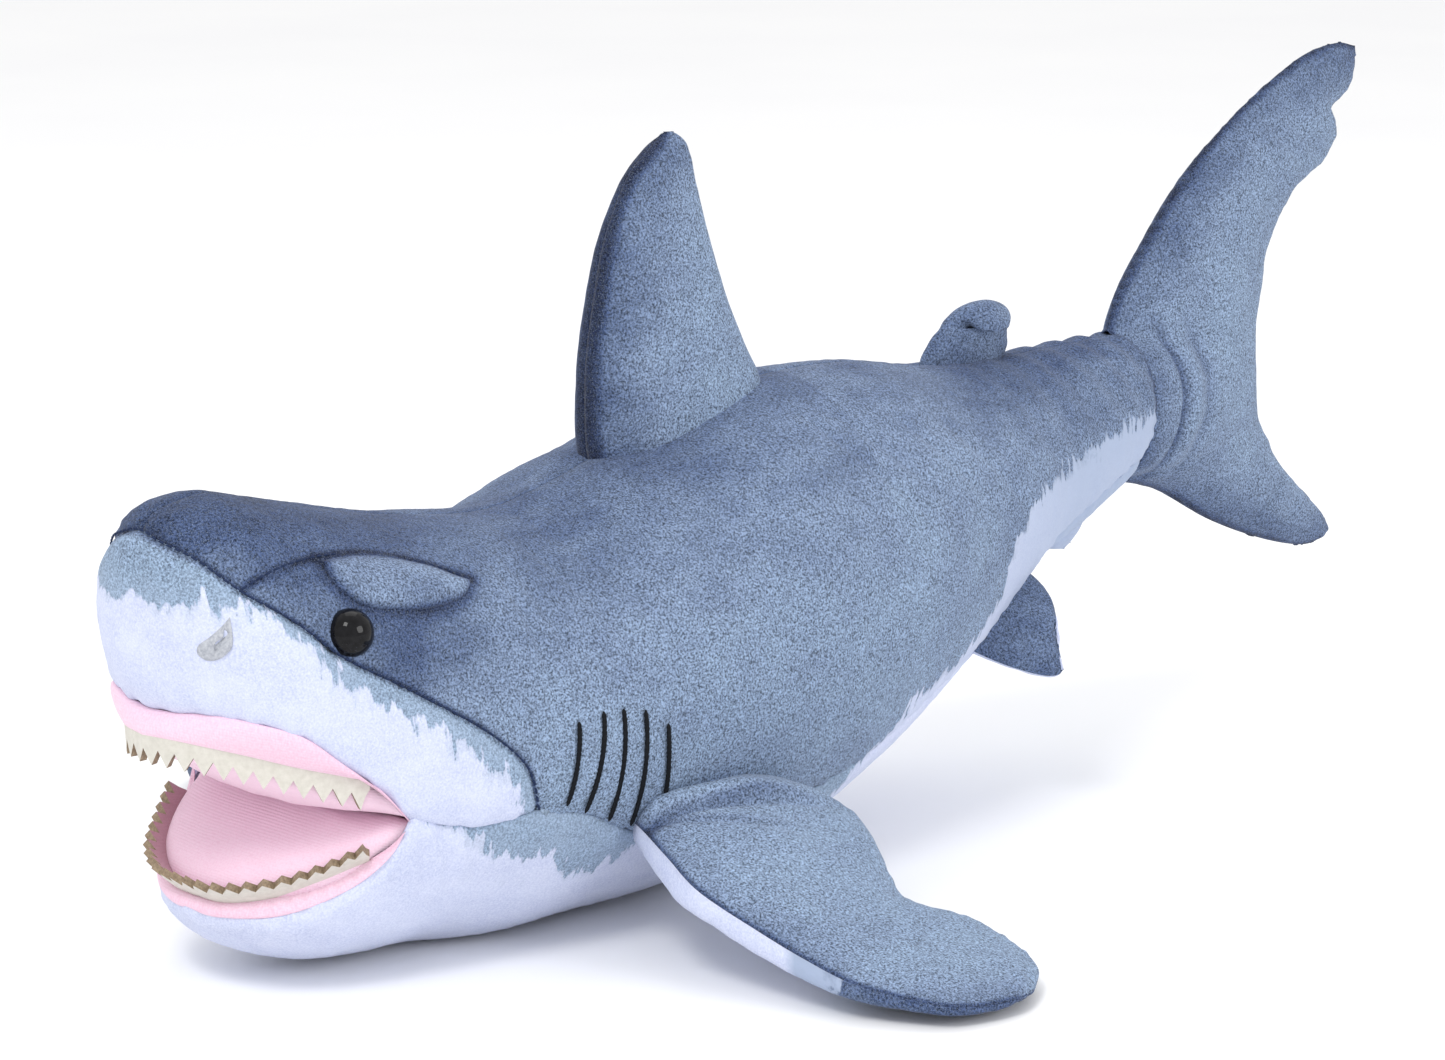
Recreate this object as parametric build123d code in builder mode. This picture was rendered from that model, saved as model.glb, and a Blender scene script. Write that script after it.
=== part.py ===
from build123d import *

import os
from math import cos, pi, radians, sin, tan

# A plush shark that lies on its belly with its mouth open. The nose points along -Y,
# the tail along +Y and the shark's left side along +X. Every size is in millimetres.
# A station is a distance measured backwards from a plane just ahead of the snout.

# ---------------------------------------------------------------- driving dimensions
MID_STATION = 339.0  # the station that stands on the origin
FABRIC = 2.0  # body plush with its backing
FIN_FABRIC = 1.2  # thinner cloth of the fins
EASE = 0.4  # room between a fin or jaw's stuffing and cloth, and under sewn-on trim
BODY_EASE = 1.6  # room between the body's stuffing and its cloth
FIT_GAP = 0.2  # room round the eye shank and its washer
SECTION_POINTS = 8  # points in each closed cross section
REACH = 400.0  # longer than any cut needs to be

# Torso and head: station, top, bottom, half width.
BODY_STATIONS = [
    (10, 141, 115, 12),
    (16, 157, 97, 28),
    (32, 166, 71, 41),
    (62, 168, 40, 54),
    (100, 160, 3, 64),
    (170, 150, -3, 75),
    (235, 164, -3, 80),
    (300, 176, 4, 77),
    (360, 177, 26, 66),
    (430, 169, 68, 46),
    (519, 170, 109, 22),
]

# Lower jaw: station, centre height, bottom, half width.
JAW_STATIONS = [
    (27, 38, 31, 16),
    (34, 40, 24, 28),
    (48, 44, 16, 40),
    (66, 49, 10, 49),
    (84, 54, 6, 56),
    (100, 58, 3, 61),
]

# Mouth: everything in it is measured from the line through both mouth corners.
CORNER = (98.0, 59.0)  # station and height
ROOF_ANGLE = 32.0  # the head is open below this slope, forwards from the corner
FLOOR_ANGLE = -22.0  # the jaw ends at this slope
JAW_BACK_LEAN = 8.0  # the jaw's rear face leans forward, which leaves room to open
JAW_BACK_RELIEF = 9.0  # radius cleared round the corner line
CORNER_GAP = 12.0  # lips, teeth and pads stop this far ahead of the corner
UPPER_LIP = ((52, 80), (41, 68))  # outer and inner half width and reach, in plan
LOWER_LIP = ((52, 72), (42, 61))
PALATE = (40.5, 67.5)
PALATE_ANGLE = 22.0
TONGUE = (40, 58)
TONGUE_ANGLE = -2.0
UPPER_TEETH = (48, 75)  # outside of the strip, in plan
UPPER_TOOTH_ANGLES = (25.7, 15.5)  # slopes of the strip's root and of its tips
LOWER_TEETH = (47, 66)
LOWER_TOOTH_ANGLES = (-17.0, -9.0)
TOOTH_CLOTH = 2.0
TOOTH_COUNT = 20
TOOTH_SPREAD = 150.0  # degrees of the oval that carry teeth
TOOTH_CUT = 0.8  # depth of the notches as a share of the strip's height

# Seams in side view, as station and height.
SNOUT_SEAM = [(32, 158), (36, 148), (84, 112), (129, 81), (141, 57)]
BELLY_SEAM = [(184, 41), (300, 38), (400, 62), (490, 105)]
TAIL_SEAM_HEIGHT = 118.0
CROWN_HEIGHT = 185.0  # above the head

# Eyes: a domed button with a shank through the plush, held by a washer.
EYE_CENTRE = (52.5, 78.0, 128.0)  # distance from the middle, station, height
EYE_AXIS = (1.0, -0.25, 0.43)  # out of the cheek
EYE_RADIUS = 8.0
EYE_DOME = 6.0
SHANK_RADIUS = 2.0
SHANK_LENGTH = 12.0
WASHER_RADIUS = 7.0
WASHER_THICKNESS = 1.5
WASHER_DEPTH = 5.0  # from the eye's flat back to the washer

# Trim sewn on the head, as station and height in side view.
BROW_OUTLINE = [(44, 150), (76, 154), (106, 148), (117, 140), (100, 137), (78, 142)]
BROW_THICKNESS = 3.0
NOSTRIL_CENTRE = (27.0, 128.0)
NOSTRIL_RADIUS = 6.0
NOSTRIL_THICKNESS = 1.2
GILL_TOPS = [(154, 86), (165, 89), (174, 88), (183, 86), (193, 80)]
GILL_FEET = [(149, 60), (155, 56), (166, 50), (178, 46), (194, 52)]
STITCH_WIDTH = 1.5
STITCH_THICKNESS = 1.0

# A fin stands on a root line. Root middle (X, station, height), direction of the root
# line and direction outwards. The edge is smooth runs of points along the root line and
# outwards, joined by straight lines. The waist is half the thickness at each distance.
DORSAL_SLOPE = radians(10.2)
DORSAL = {
    "root": (0, 273.5, 169.5),
    "along": (0, cos(DORSAL_SLOPE), sin(DORSAL_SLOPE)),
    "outwards": (0, -sin(DORSAL_SLOPE), cos(DORSAL_SLOPE)),
    "edge": [
        [(-41, 4.5), (-37, 40), (-24, 75), (0, 101)],
        [(15, 102), (22, 80), (32, 38), (42, 4.5)],
    ],
    "waist": [(4.5, 2), (25, 6.5), (60, 5), (102, 2.5)],
}
SECOND_DORSAL = {
    "root": (0, 424.0, 171.0),
    "along": (0, 1, 0),
    "outwards": (0, 0, 1),
    "edge": [[(-23, 4), (-15, 14), (3, 23)], [(20, 22), (24, 14), (22, 4)]],
    "waist": [(4, 2), (12, 3.5), (23, 2)],
}
ANAL_SLOPE = radians(23.0)
ANAL = {
    "root": (0, 480.0, 95.0),
    "along": (0, cos(ANAL_SLOPE), sin(ANAL_SLOPE)),
    "outwards": (0, sin(ANAL_SLOPE), -cos(ANAL_SLOPE)),
    "edge": [[(-17, 5), (-10, 12), (0, 17)], [(8, 17), (13, 12), (17, 5)]],
    "waist": [(5, 2), (10, 3), (17, 2)],
}
PECTORAL_DROOP = radians(17.0)
PECTORAL = {
    "root": (76.0, 213.0, 46.0),
    "along": (0, 1, 0),
    "outwards": (cos(PECTORAL_DROOP), 0, -sin(PECTORAL_DROOP)),
    "edge": [
        [(-27, 1), (-45, 42), (-33, 105), (-10, 138)],
        [(25, 139), (45, 110), (36, 66), (48, 28), (35, 1)],
    ],
    "waist": [(1, 2), (30, 6.5), (60, 7.5), (100, 5.5), (139, 2.5)],
}
PELVIC = {
    "root": (50.5, 397.0, 76.0),
    "along": (-0.181, 0.862, 0.476),
    "outwards": (0.681, 0.466, -0.565),
    "edge": [[(-22, 0.5), (-18, 24), (-6, 50)], [(5, 52), (18, 24), (22, 0.5)]],
    "waist": [(0.5, 2), (18, 3.5), (52, 2)],
}
CAUDAL = {
    "root": (0, 521.0, 148.0),
    "along": (0, 0, -1),
    "outwards": (0, 1, 0),
    "edge": [
        [(-36, 0), (-71, 24), (-106, 71), (-128, 132)],
        [(-121, 147), (-75, 122), (-12, 84), (41, 96), (80, 137)],
        [(86, 115), (66, 58), (36, 0)],
    ],
    "waist": [(0, 5), (7, 15), (20, 19.5), (60, 13), (90, 6), (147, 3)],
}


# ------------------------------------------------------------------- shared geometry
def across(station):
    """Plane across the body at a station, seen with X to the right and Z up."""
    return Plane.XZ.offset(MID_STATION - station)


def side_points(points):
    """Side-view points, given as station and height, on the plane of the middle seam."""
    return [(station - MID_STATION, height) for station, height in points]


def from_corner(angle):
    """Far side-view point ahead of the mouth corner, at an angle above the level."""
    return (CORNER[0] - REACH * cos(radians(angle)), CORNER[1] + REACH * sin(radians(angle)))


def oval(half_width, half_height, centre):
    """Points round an oval, from its top, for a closed spline."""
    turns = [2 * pi * step / SECTION_POINTS for step in range(SECTION_POINTS)]
    return [(centre[0] + half_width * sin(t), centre[1] + half_height * cos(t)) for t in turns]


def oval_section(plane, half_width, half_height, centre=(0.0, 0.0)):
    """Face bounded by a smooth oval on a plane."""
    with BuildSketch(plane) as section:
        with BuildLine():
            Spline(*oval(half_width, half_height, centre), periodic=True)
        make_face()
    return section.sketch


def end_shift(index, count, inset):
    """How far the first and the last section move inwards along a loft."""
    return inset if index == 0 else -inset if index == count - 1 else 0.0


def body_form(inset):
    """Torso and head with the surface moved inwards, or outwards where inset is negative."""
    sections = []
    for index, (station, top, bottom, half_width) in enumerate(BODY_STATIONS):
        plane = across(station + end_shift(index, len(BODY_STATIONS), inset))
        centre = (0, (top + bottom) / 2)
        sections.append(oval_section(plane, half_width - inset, (top - bottom) / 2 - inset, centre))
    with BuildPart() as form:
        loft(sections)
        split(bisect_by=Plane.XY.offset(max(inset, 0.0)), keep=Keep.TOP)
    return form.part


def jaw_form(inset):
    """Lower jaw below the mouth floor, ahead of its leaning rear face."""
    sections = []
    for index, (station, centre, bottom, half_width) in enumerate(JAW_STATIONS):
        plane = across(station + (inset if index == 0 else 0.0))
        sections.append(oval_section(plane, half_width - inset, centre - bottom - inset, (0, centre)))
    with BuildPart() as form:
        loft(sections)
        with BuildSketch(Plane.YZ):
            with BuildLine():
                rear = from_corner(-90 + JAW_BACK_LEAN)
                Polyline(*side_points([CORNER, from_corner(FLOOR_ANGLE), rear]), close=True)
            make_face()
        extrude(amount=REACH, both=True, mode=Mode.INTERSECT)
        with BuildSketch(Plane.YZ):
            with Locations(*side_points([CORNER])):
                Circle(JAW_BACK_RELIEF + inset)
        extrude(amount=REACH, both=True, mode=Mode.SUBTRACT)
    return form.part


def side_prism(points):
    """Prism across the whole body over a side-view outline."""
    with BuildPart() as prism:
        with BuildSketch(Plane.YZ):
            with BuildLine():
                Polyline(*side_points(points), close=True)
            make_face()
        extrude(amount=REACH, both=True)
    return prism.part


def head_patch(outline, thickness):
    """Pieces of cloth over side-view outlines on the left of the body."""
    with BuildPart() as piece:
        add(body_form(-EASE - thickness))
        with BuildSketch(Plane.YZ):
            add(outline)
        extrude(amount=REACH, mode=Mode.INTERSECT)
        add(body_form(-EASE), mode=Mode.SUBTRACT)
    return piece.part


def outline_sketch(*outlines):
    """Side-view outlines as one sketch."""
    with BuildSketch() as sketch:
        for points in outlines:
            with BuildLine():
                Polyline(*side_points(points), close=True)
            make_face()
    return sketch.sketch


def mouth_wedge(low_angle, high_angle):
    """Prism between two slopes that start at the mouth corners."""
    return side_prism([CORNER, from_corner(low_angle), from_corner(high_angle)])


def mouth_band(outer, inner, low_angle, high_angle):
    """Oval band in plan round the mouth, or a whole oval pad, between two slopes."""
    with BuildPart() as band:
        with BuildSketch():
            with Locations((0, CORNER[0] - MID_STATION)):
                Ellipse(*outer)
                if inner:
                    Ellipse(*inner, mode=Mode.SUBTRACT)
        extrude(amount=REACH)
        add(mouth_wedge(low_angle, high_angle), mode=Mode.INTERSECT)
        split(bisect_by=across(CORNER[0] - CORNER_GAP), keep=Keep.TOP)
    return band.part


def tooth_strip(plan, root_angle, tip_angle):
    """Band of cloth round the mouth, one flat facet for each tooth, with a zigzag edge."""
    turns = [radians(TOOTH_SPREAD * (step / TOOTH_COUNT - 0.5)) for step in range(TOOTH_COUNT + 1)]
    middle = CORNER[0] - MID_STATION
    outer = [(plan[0] * sin(t), middle - plan[1] * cos(t)) for t in turns]
    inner = [((plan[0] - TOOTH_CLOTH) * sin(t), middle - (plan[1] - TOOTH_CLOTH) * cos(t)) for t in turns]
    tip_slope = tan(radians(tip_angle))
    rise = tan(radians(root_angle)) - tip_slope
    with BuildPart() as strip:
        with BuildSketch():
            with BuildLine():
                Polyline(*outer, *reversed(inner), close=True)
            make_face()
        extrude(amount=REACH)
        add(mouth_wedge(min(root_angle, tip_angle), max(root_angle, tip_angle)), mode=Mode.INTERSECT)
        for index, turn in enumerate(turns):
            ahead = plan[1] * cos(turn)
            edge = Vector(*outer[index], CORNER[1] + ahead * tip_slope)
            before = outer[max(index - 1, 0)]
            after = outer[min(index + 1, TOOTH_COUNT)]
            along = Vector(after[0] - before[0], after[1] - before[1], 0)
            half = along.length / 4
            depth = TOOTH_CUT * rise * ahead
            notch = [(-1.4 * half, -0.4 * depth), (0, depth), (1.4 * half, -0.4 * depth)]
            with BuildSketch(Plane(edge, x_dir=along, z_dir=along.cross(Vector(0, 0, 1)))):
                with BuildLine():
                    Polyline(*notch, close=True)
                make_face()
            extrude(amount=3 * TOOTH_CLOTH, both=True, mode=Mode.SUBTRACT)
    return strip.part


def fin_plane(fin, x_dir, z_dir):
    """Plane through the middle of a fin's root."""
    middle = fin["root"]
    return Plane((middle[0], middle[1] - MID_STATION, middle[2]), x_dir=x_dir, z_dir=z_dir)


def fin_side(fin):
    """Direction out of a fin's left side or top."""
    side = Vector(*fin["along"]).cross(Vector(*fin["outwards"]))
    return side if side.X + side.Z > 0 else -side


def shrunk(runs, inset):
    """Runs of points round a closed outline, moved inwards square to the edge."""
    points = [Vector(*point) for run in runs for point in run]
    count = len(points)
    steps = [(points[(index + 1) % count] - points[index]).normalized() for index in range(count)]
    normals = [Vector(step.Y, -step.X) for step in steps]
    moved = []
    for index, point in enumerate(points):
        pair = normals[index - 1] + normals[index]
        moved.append(point + pair * (inset / (1 + normals[index - 1].dot(normals[index]))))
    return [[moved.pop(0) for _ in run] for run in runs]


def run_outline(runs):
    """Closed face with a smooth curve along each run and lines between the runs."""
    with BuildSketch() as outline:
        with BuildLine():
            for index, run in enumerate(runs):
                if len(run) == 2:
                    Polyline(*run)
                else:
                    Spline(*run)
                Line(run[-1], runs[(index + 1) % len(runs)][0])
        make_face()
    return outline.sketch


def fin_form(fin, inset):
    """Fin where its edge and its waist meet, with the surface moved inwards."""
    along = Vector(*fin["along"])
    outwards = Vector(*fin["outwards"])
    mirrored = [(distance, -half) for distance, half in reversed(fin["waist"])]
    with BuildPart() as form:
        with BuildSketch(fin_plane(fin, along, along.cross(outwards))):
            add(run_outline(shrunk(fin["edge"], inset)))
        extrude(amount=REACH, both=True)
        with BuildSketch(fin_plane(fin, outwards, outwards.cross(along.cross(outwards)))):
            add(run_outline(shrunk([fin["waist"], mirrored], inset)))
        extrude(amount=REACH, both=True, mode=Mode.INTERSECT)
    return form.part


def fin_panel(fin, core, keep):
    """One of the two panels between a fin's outside and its core."""
    with BuildPart() as panel:
        add(fin_form(fin, 0.0))
        if core:
            add(core, mode=Mode.SUBTRACT)
        split(bisect_by=fin_plane(fin, fin["along"], fin_side(fin)), keep=keep)
    return panel.part


def write(name, part):
    """Label a finished piece and write its file."""
    part.label = name
    export_step(part, f"parts/{name}.step")


def write_pair(name, part):
    """Write the left piece as it stands and its mirror image on the right."""
    write(f"left_{name}", part)
    with BuildPart() as right:
        mirror(part, about=Plane.YZ)
    write(f"right_{name}", right.part)


os.makedirs("parts", exist_ok=True)

# -------------------------------------------------------------------- torso and head
MOUTH_OPENING = [
    CORNER,
    from_corner(ROOF_ANGLE),
    (CORNER[0] - REACH, -REACH),
    (CORNER[0], -REACH),
]
STUFFING_OPENING = [
    (CORNER[0] + FABRIC, CORNER[1] + FABRIC),
    (from_corner(ROOF_ANGLE)[0], from_corner(ROOF_ANGLE)[1] + FABRIC),
    (CORNER[0] - REACH, -REACH),
    (CORNER[0] + FABRIC, -REACH),
]
SNOUT_OUTLINE = [
    (CORNER[0] - REACH, CROWN_HEIGHT),
    (SNOUT_SEAM[0][0], CROWN_HEIGHT),
    *SNOUT_SEAM,
    CORNER,
    (CORNER[0] - REACH, CORNER[1]),
]
BELLY_OUTLINE = [
    CORNER,
    SNOUT_SEAM[-1],
    *BELLY_SEAM,
    (MID_STATION + REACH, TAIL_SEAM_HEIGHT),
    (MID_STATION + REACH, -REACH),
    (CORNER[0], -REACH),
]
snout_prism = side_prism(SNOUT_OUTLINE)
belly_prism = side_prism(BELLY_OUTLINE)

with BuildPart() as skin:
    add(body_form(0.0))
    add(side_prism(MOUTH_OPENING), mode=Mode.SUBTRACT)
    add(body_form(FABRIC), mode=Mode.SUBTRACT)

with BuildPart() as snout_panel:
    add(skin.part)
    add(snout_prism, mode=Mode.INTERSECT)
write("snout_panel", snout_panel.part)

with BuildPart() as belly_panel:
    add(skin.part)
    add(belly_prism, mode=Mode.INTERSECT)
write("belly_panel", belly_panel.part)

# Eye: the plane's Z points out of the cheek.
eye_plane = Plane((EYE_CENTRE[0], EYE_CENTRE[1] - MID_STATION, EYE_CENTRE[2]), z_dir=EYE_AXIS)
dome_ball_radius = (EYE_RADIUS**2 + EYE_DOME**2) / (2 * EYE_DOME)

with BuildPart() as eye:
    with Locations(eye_plane.offset(EYE_DOME - dome_ball_radius)):
        Sphere(dome_ball_radius)
    split(bisect_by=eye_plane, keep=Keep.TOP)
    with BuildSketch(eye_plane):
        Circle(SHANK_RADIUS)
    extrude(amount=-SHANK_LENGTH)
write_pair("eye", eye.part)

with BuildPart() as eye_washer:
    with BuildSketch(eye_plane.offset(-WASHER_DEPTH - WASHER_THICKNESS)):
        Circle(WASHER_RADIUS)
        Circle(SHANK_RADIUS + FIT_GAP / 2, mode=Mode.SUBTRACT)
    extrude(amount=WASHER_THICKNESS)
write_pair("eye_washer", eye_washer.part)

# Room for the dome and the shank, and for the washer with the plush pinched to it.
with BuildPart() as eye_room:
    with BuildSketch(eye_plane.offset(-SHANK_LENGTH - FIT_GAP)):
        Circle(SHANK_RADIUS + FIT_GAP)
    extrude(amount=SHANK_LENGTH + 2 * FIT_GAP)
    with BuildSketch(eye_plane.offset(-FIT_GAP)):
        Circle(EYE_RADIUS + FIT_GAP)
    extrude(amount=2 * EYE_DOME)
    with BuildSketch(eye_plane.offset(-WASHER_DEPTH - WASHER_THICKNESS - FIT_GAP)):
        Circle(WASHER_RADIUS + FIT_GAP)
    extrude(amount=WASHER_THICKNESS + 2 * FIT_GAP)

with BuildPart() as side_panel:
    add(skin.part)
    add(snout_prism, mode=Mode.SUBTRACT)
    add(belly_prism, mode=Mode.SUBTRACT)
    split(bisect_by=Plane.YZ, keep=Keep.TOP)
    add(eye_room.part, mode=Mode.SUBTRACT)
write_pair("side_panel", side_panel.part)

with BuildPart() as body_stuffing:
    add(body_form(FABRIC + BODY_EASE))
    add(side_prism(STUFFING_OPENING), mode=Mode.SUBTRACT)
    add(eye_room.part, mode=Mode.SUBTRACT)
    mirror(eye_room.part, about=Plane.YZ, mode=Mode.SUBTRACT)
write("body_stuffing", body_stuffing.part)

write_pair("brow", head_patch(outline_sketch(BROW_OUTLINE), BROW_THICKNESS))

with BuildSketch() as nostril_outline:
    with Locations(*side_points([NOSTRIL_CENTRE])):
        Circle(NOSTRIL_RADIUS)
write_pair("nostril", head_patch(nostril_outline.sketch, NOSTRIL_THICKNESS))

gill_bars = [
    [
        (top[0] - STITCH_WIDTH / 2, top[1]),
        (top[0] + STITCH_WIDTH / 2, top[1]),
        (foot[0] + STITCH_WIDTH / 2, foot[1]),
        (foot[0] - STITCH_WIDTH / 2, foot[1]),
    ]
    for top, foot in zip(GILL_TOPS, GILL_FEET)
]
write_pair("gill_stitches", head_patch(outline_sketch(*gill_bars), STITCH_THICKNESS))

# ------------------------------------------------------------------------- the mouth
write("upper_lip", mouth_band(*UPPER_LIP, UPPER_TOOTH_ANGLES[0], ROOF_ANGLE))
write("palate", mouth_band(PALATE, None, PALATE_ANGLE, ROOF_ANGLE))
write("upper_teeth", tooth_strip(UPPER_TEETH, *UPPER_TOOTH_ANGLES))
write("lower_lip", mouth_band(*LOWER_LIP, FLOOR_ANGLE, LOWER_TOOTH_ANGLES[0]))
write("lower_teeth", tooth_strip(LOWER_TEETH, *LOWER_TOOTH_ANGLES))
write("tongue", mouth_band(TONGUE, None, FLOOR_ANGLE, TONGUE_ANGLE))

write("jaw_stuffing", jaw_form(FABRIC + EASE))

with BuildPart() as chin_panel:
    add(jaw_form(0.0))
    add(jaw_form(FABRIC), mode=Mode.SUBTRACT)
write("chin_panel", chin_panel.part)

# -------------------------------------------------------------------------- the fins
# The small fins are only sewn cloth. The large ones hold stuffing as well.
for name, fin, stuffed in (
    ("dorsal_fin", DORSAL, True),
    ("second_dorsal_fin", SECOND_DORSAL, False),
    ("anal_fin", ANAL, False),
    ("caudal_fin", CAUDAL, True),
):
    core = fin_form(fin, FIN_FABRIC) if stuffed else None
    write(f"{name}_left_panel", fin_panel(fin, core, Keep.TOP))
    write(f"{name}_right_panel", fin_panel(fin, core, Keep.BOTTOM))
    if stuffed:
        write(f"{name}_stuffing", fin_form(fin, FIN_FABRIC + EASE))

for name, fin, stuffed in (("pectoral_fin", PECTORAL, True), ("pelvic_fin", PELVIC, False)):
    core = fin_form(fin, FIN_FABRIC) if stuffed else None
    write_pair(f"{name}_top_panel", fin_panel(fin, core, Keep.TOP))
    write_pair(f"{name}_bottom_panel", fin_panel(fin, core, Keep.BOTTOM))
    if stuffed:
        write_pair(f"{name}_stuffing", fin_form(fin, FIN_FABRIC + EASE))
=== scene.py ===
import math

import bpy
import bmesh
import numpy as np
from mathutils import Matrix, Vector


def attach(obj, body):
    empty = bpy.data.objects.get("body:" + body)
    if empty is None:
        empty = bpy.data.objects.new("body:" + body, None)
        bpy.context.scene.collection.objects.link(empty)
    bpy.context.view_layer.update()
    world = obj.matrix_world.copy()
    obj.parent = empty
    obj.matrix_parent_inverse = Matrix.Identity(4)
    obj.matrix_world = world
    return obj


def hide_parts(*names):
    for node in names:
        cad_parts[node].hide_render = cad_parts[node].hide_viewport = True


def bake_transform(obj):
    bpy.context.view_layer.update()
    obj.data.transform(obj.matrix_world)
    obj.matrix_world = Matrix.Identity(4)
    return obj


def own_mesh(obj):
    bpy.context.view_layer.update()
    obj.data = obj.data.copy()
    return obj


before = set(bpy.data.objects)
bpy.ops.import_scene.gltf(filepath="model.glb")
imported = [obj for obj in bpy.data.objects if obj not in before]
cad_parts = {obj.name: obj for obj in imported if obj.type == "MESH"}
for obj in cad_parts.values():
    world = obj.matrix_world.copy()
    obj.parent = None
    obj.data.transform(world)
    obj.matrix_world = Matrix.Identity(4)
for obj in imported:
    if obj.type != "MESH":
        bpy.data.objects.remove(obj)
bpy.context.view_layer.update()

# A plush shark lying on its belly with its mouth open. Shapes are written in millimetres
# as (x, station, height): x towards the shark's left, station backwards from just ahead
# of the snout. In the row frame Y is the station less MID_STATION.
MM = 0.001
MID_STATION = 339.0
BODY_CLOTH = 1.0  # thickness of the body's cloth shells
FIN_CLOTH = 0.6  # thickness of the fins' cloth shells
SEAM_DEPTH = 1.7  # how far the body's cloth is drawn in at a seam
NOSE = 23.3  # station of the foremost point of the snout
CHIN = 44.0  # station of the foremost point of the lower jaw
TAIL_JOINT = 519.0
FULL, FIRM = 0.9, 0.8  # how full the body, and the pads and fins, are stuffed
BLUE_ALL_OVER, WHITE_ALL_OVER = 30.0, -30.0  # print distances far from any printed edge

# Torso and head: station, top, bottom, half width.
BODY = [
    (23.3, 146, 126, 0), (24, 154, 117, 9), (25.6, 159.5, 111, 16), (28.4, 163, 104, 22.5),
    (32, 166, 95, 29), (37.5, 168.5, 83, 36), (44, 170, 66, 43), (53, 171, 52, 49.5),
    (75, 166, 31, 58), (100, 159, 5, 64), (140, 151, -2, 71), (180, 147.5, -3, 76),
    (235, 160.5, -3, 80), (280, 174, 0, 79), (320, 178.5, 13, 74), (360, 177.5, 32, 66),
    (400, 171, 53, 55), (440, 169, 80, 43), (480, 169, 95, 32), (519, 170, 109, 22),
]

# Underside from the chin back: station, height where it is widest, bottom, half width.
UNDERSIDE = [
    (44, 29.5, 29.5, 0), (45.5, 29, 25, 10), (49, 29, 20.5, 22), (55, 30.5, 15, 32),
    (63, 34, 10.5, 41), (72, 39, 7, 47.5), (82, 46, 4.5, 53.5), (93, 60, 3, 59.5),
    (105, 66, 1.5, 63.5), (122, 73, 0.5, 68), (140, 74.5, -2, 71), (180, 72.2, -3, 76),
    (235, 78.7, -3, 80), (280, 87, 0, 79), (320, 95.7, 13, 74), (360, 104.7, 32, 66),
    (400, 112, 53, 55), (440, 124.5, 80, 43), (480, 132, 95, 32), (519, 139.5, 109, 22),
]

# Upper edge of the underside panel: station and height.
UNDERSIDE_EDGE = [
    (44, 29.5), (45, 29), (48, 29), (56.5, 31.6), (69, 37.4), (80, 44.5), (87.6, 52.6),
    (92.3, 61.8), (103, 58.8), (118, 55.6), (130, 55.9), (141, 57.5), (162, 52), (184, 41),
    (240, 36), (300, 39), (360, 56), (400, 73), (440, 96), (480, 110), (519, 121),
]

# Head seam from the top of the snout down to the cheek, where the belly seam begins.
HEAD_SEAM = [
    (0, 28, 163.8), (10, 28.5, 161.5), (24.5, 34.5, 154.7), (35.5, 42.1, 145.3),
    (47.3, 57.1, 133.2), (53.3, 68.6, 122.2), (58.9, 89.2, 109.4), (63.4, 106.7, 98.5),
    (68, 124.5, 85.7), (70.3, 135.8, 73.5), (69.3, 141, 57.5),
]
# Lower edge of the snout panel: along the lip to the mouth corner, then to the cheek.
SNOUT_EDGE = [
    (0, 31, 101), (6, 31.4, 101), (24.8, 36, 101.8), (39, 43.2, 100),
    (48.8, 54.9, 95.1), (53.5, 67.6, 85.1), (56.6, 78.4, 76.8), (58.4, 86.5, 68.7),
    (59.1, 92.3, 61.8), (61.8, 103, 58.8), (64.6, 118.2, 55.6), (67, 129.5, 55.9),
    (69.3, 141, 57.5),
]

# Printed edge between grey above and white below: station and height.
FLANK_PRINT = [
    (140, 62), (150, 40), (170, 31), (189, 37), (240, 30), (290, 26), (306, 40), (318, 48),
    (335, 60), (360, 66), (377, 79), (388, 92), (393, 107), (398, 114), (411, 121),
    (424, 128), (445, 132), (467, 136.6), (488, 139), (519, 141),
]
THROAT_PRINT = [
    (100, 61), (109, 58), (128, 46), (139, 36), (145, 42), (166, 30), (174, 33), (189, 37),
]
SNOUT_PRINT = [
    (0, 141), (31, 139.5), (44, 142), (53.5, 131), (65, 119), (81, 104), (95, 96), (113, 84),
    (128, 70), (134, 56), (141, 50),
]

# Mouth, from the front middle back along the left side.
LIP_TOP = SNOUT_EDGE[:9]
UPPER_TEETH_LINE = [
    (0, 27, 93), (12, 29.5, 93), (21, 35, 91.5), (33, 44.8, 88.6), (44, 57.8, 84.1),
    (51.4, 73.4, 79.1), (53.5, 80, 76.7),
]
LOWER_TEETH_LINE = [
    (0, 46.5, 33), (13, 48, 33), (27, 55, 35.5), (40, 68.5, 41), (50, 82, 48.5),
]
LIP_BOTTOM = [
    (0, 44, 29.5), (8, 45, 28.5), (18, 47.6, 29), (34, 56.5, 31.6), (45.3, 69, 37.4),
    (52.4, 80.2, 44.5), (56.8, 87.6, 52.6), (58.3, 90.8, 58.4),
]
MOUTH_CORNER = 97.5  # station where the roof and the floor of the mouth meet
PALATE_BACK = (0, MOUTH_CORNER, 61.3)
TONGUE_BACK = (0, MOUTH_CORNER, 60.2)
MOUTH_HEART = np.array([0.0, 98.0, 60.0])  # the lips and the teeth face away from it
TEETH = 24  # in each strip
TOOTH_STRIP = 10.5  # width of the strips of teeth
TOOTH_CLOTH = 2.6  # thickness of the strips

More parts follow.
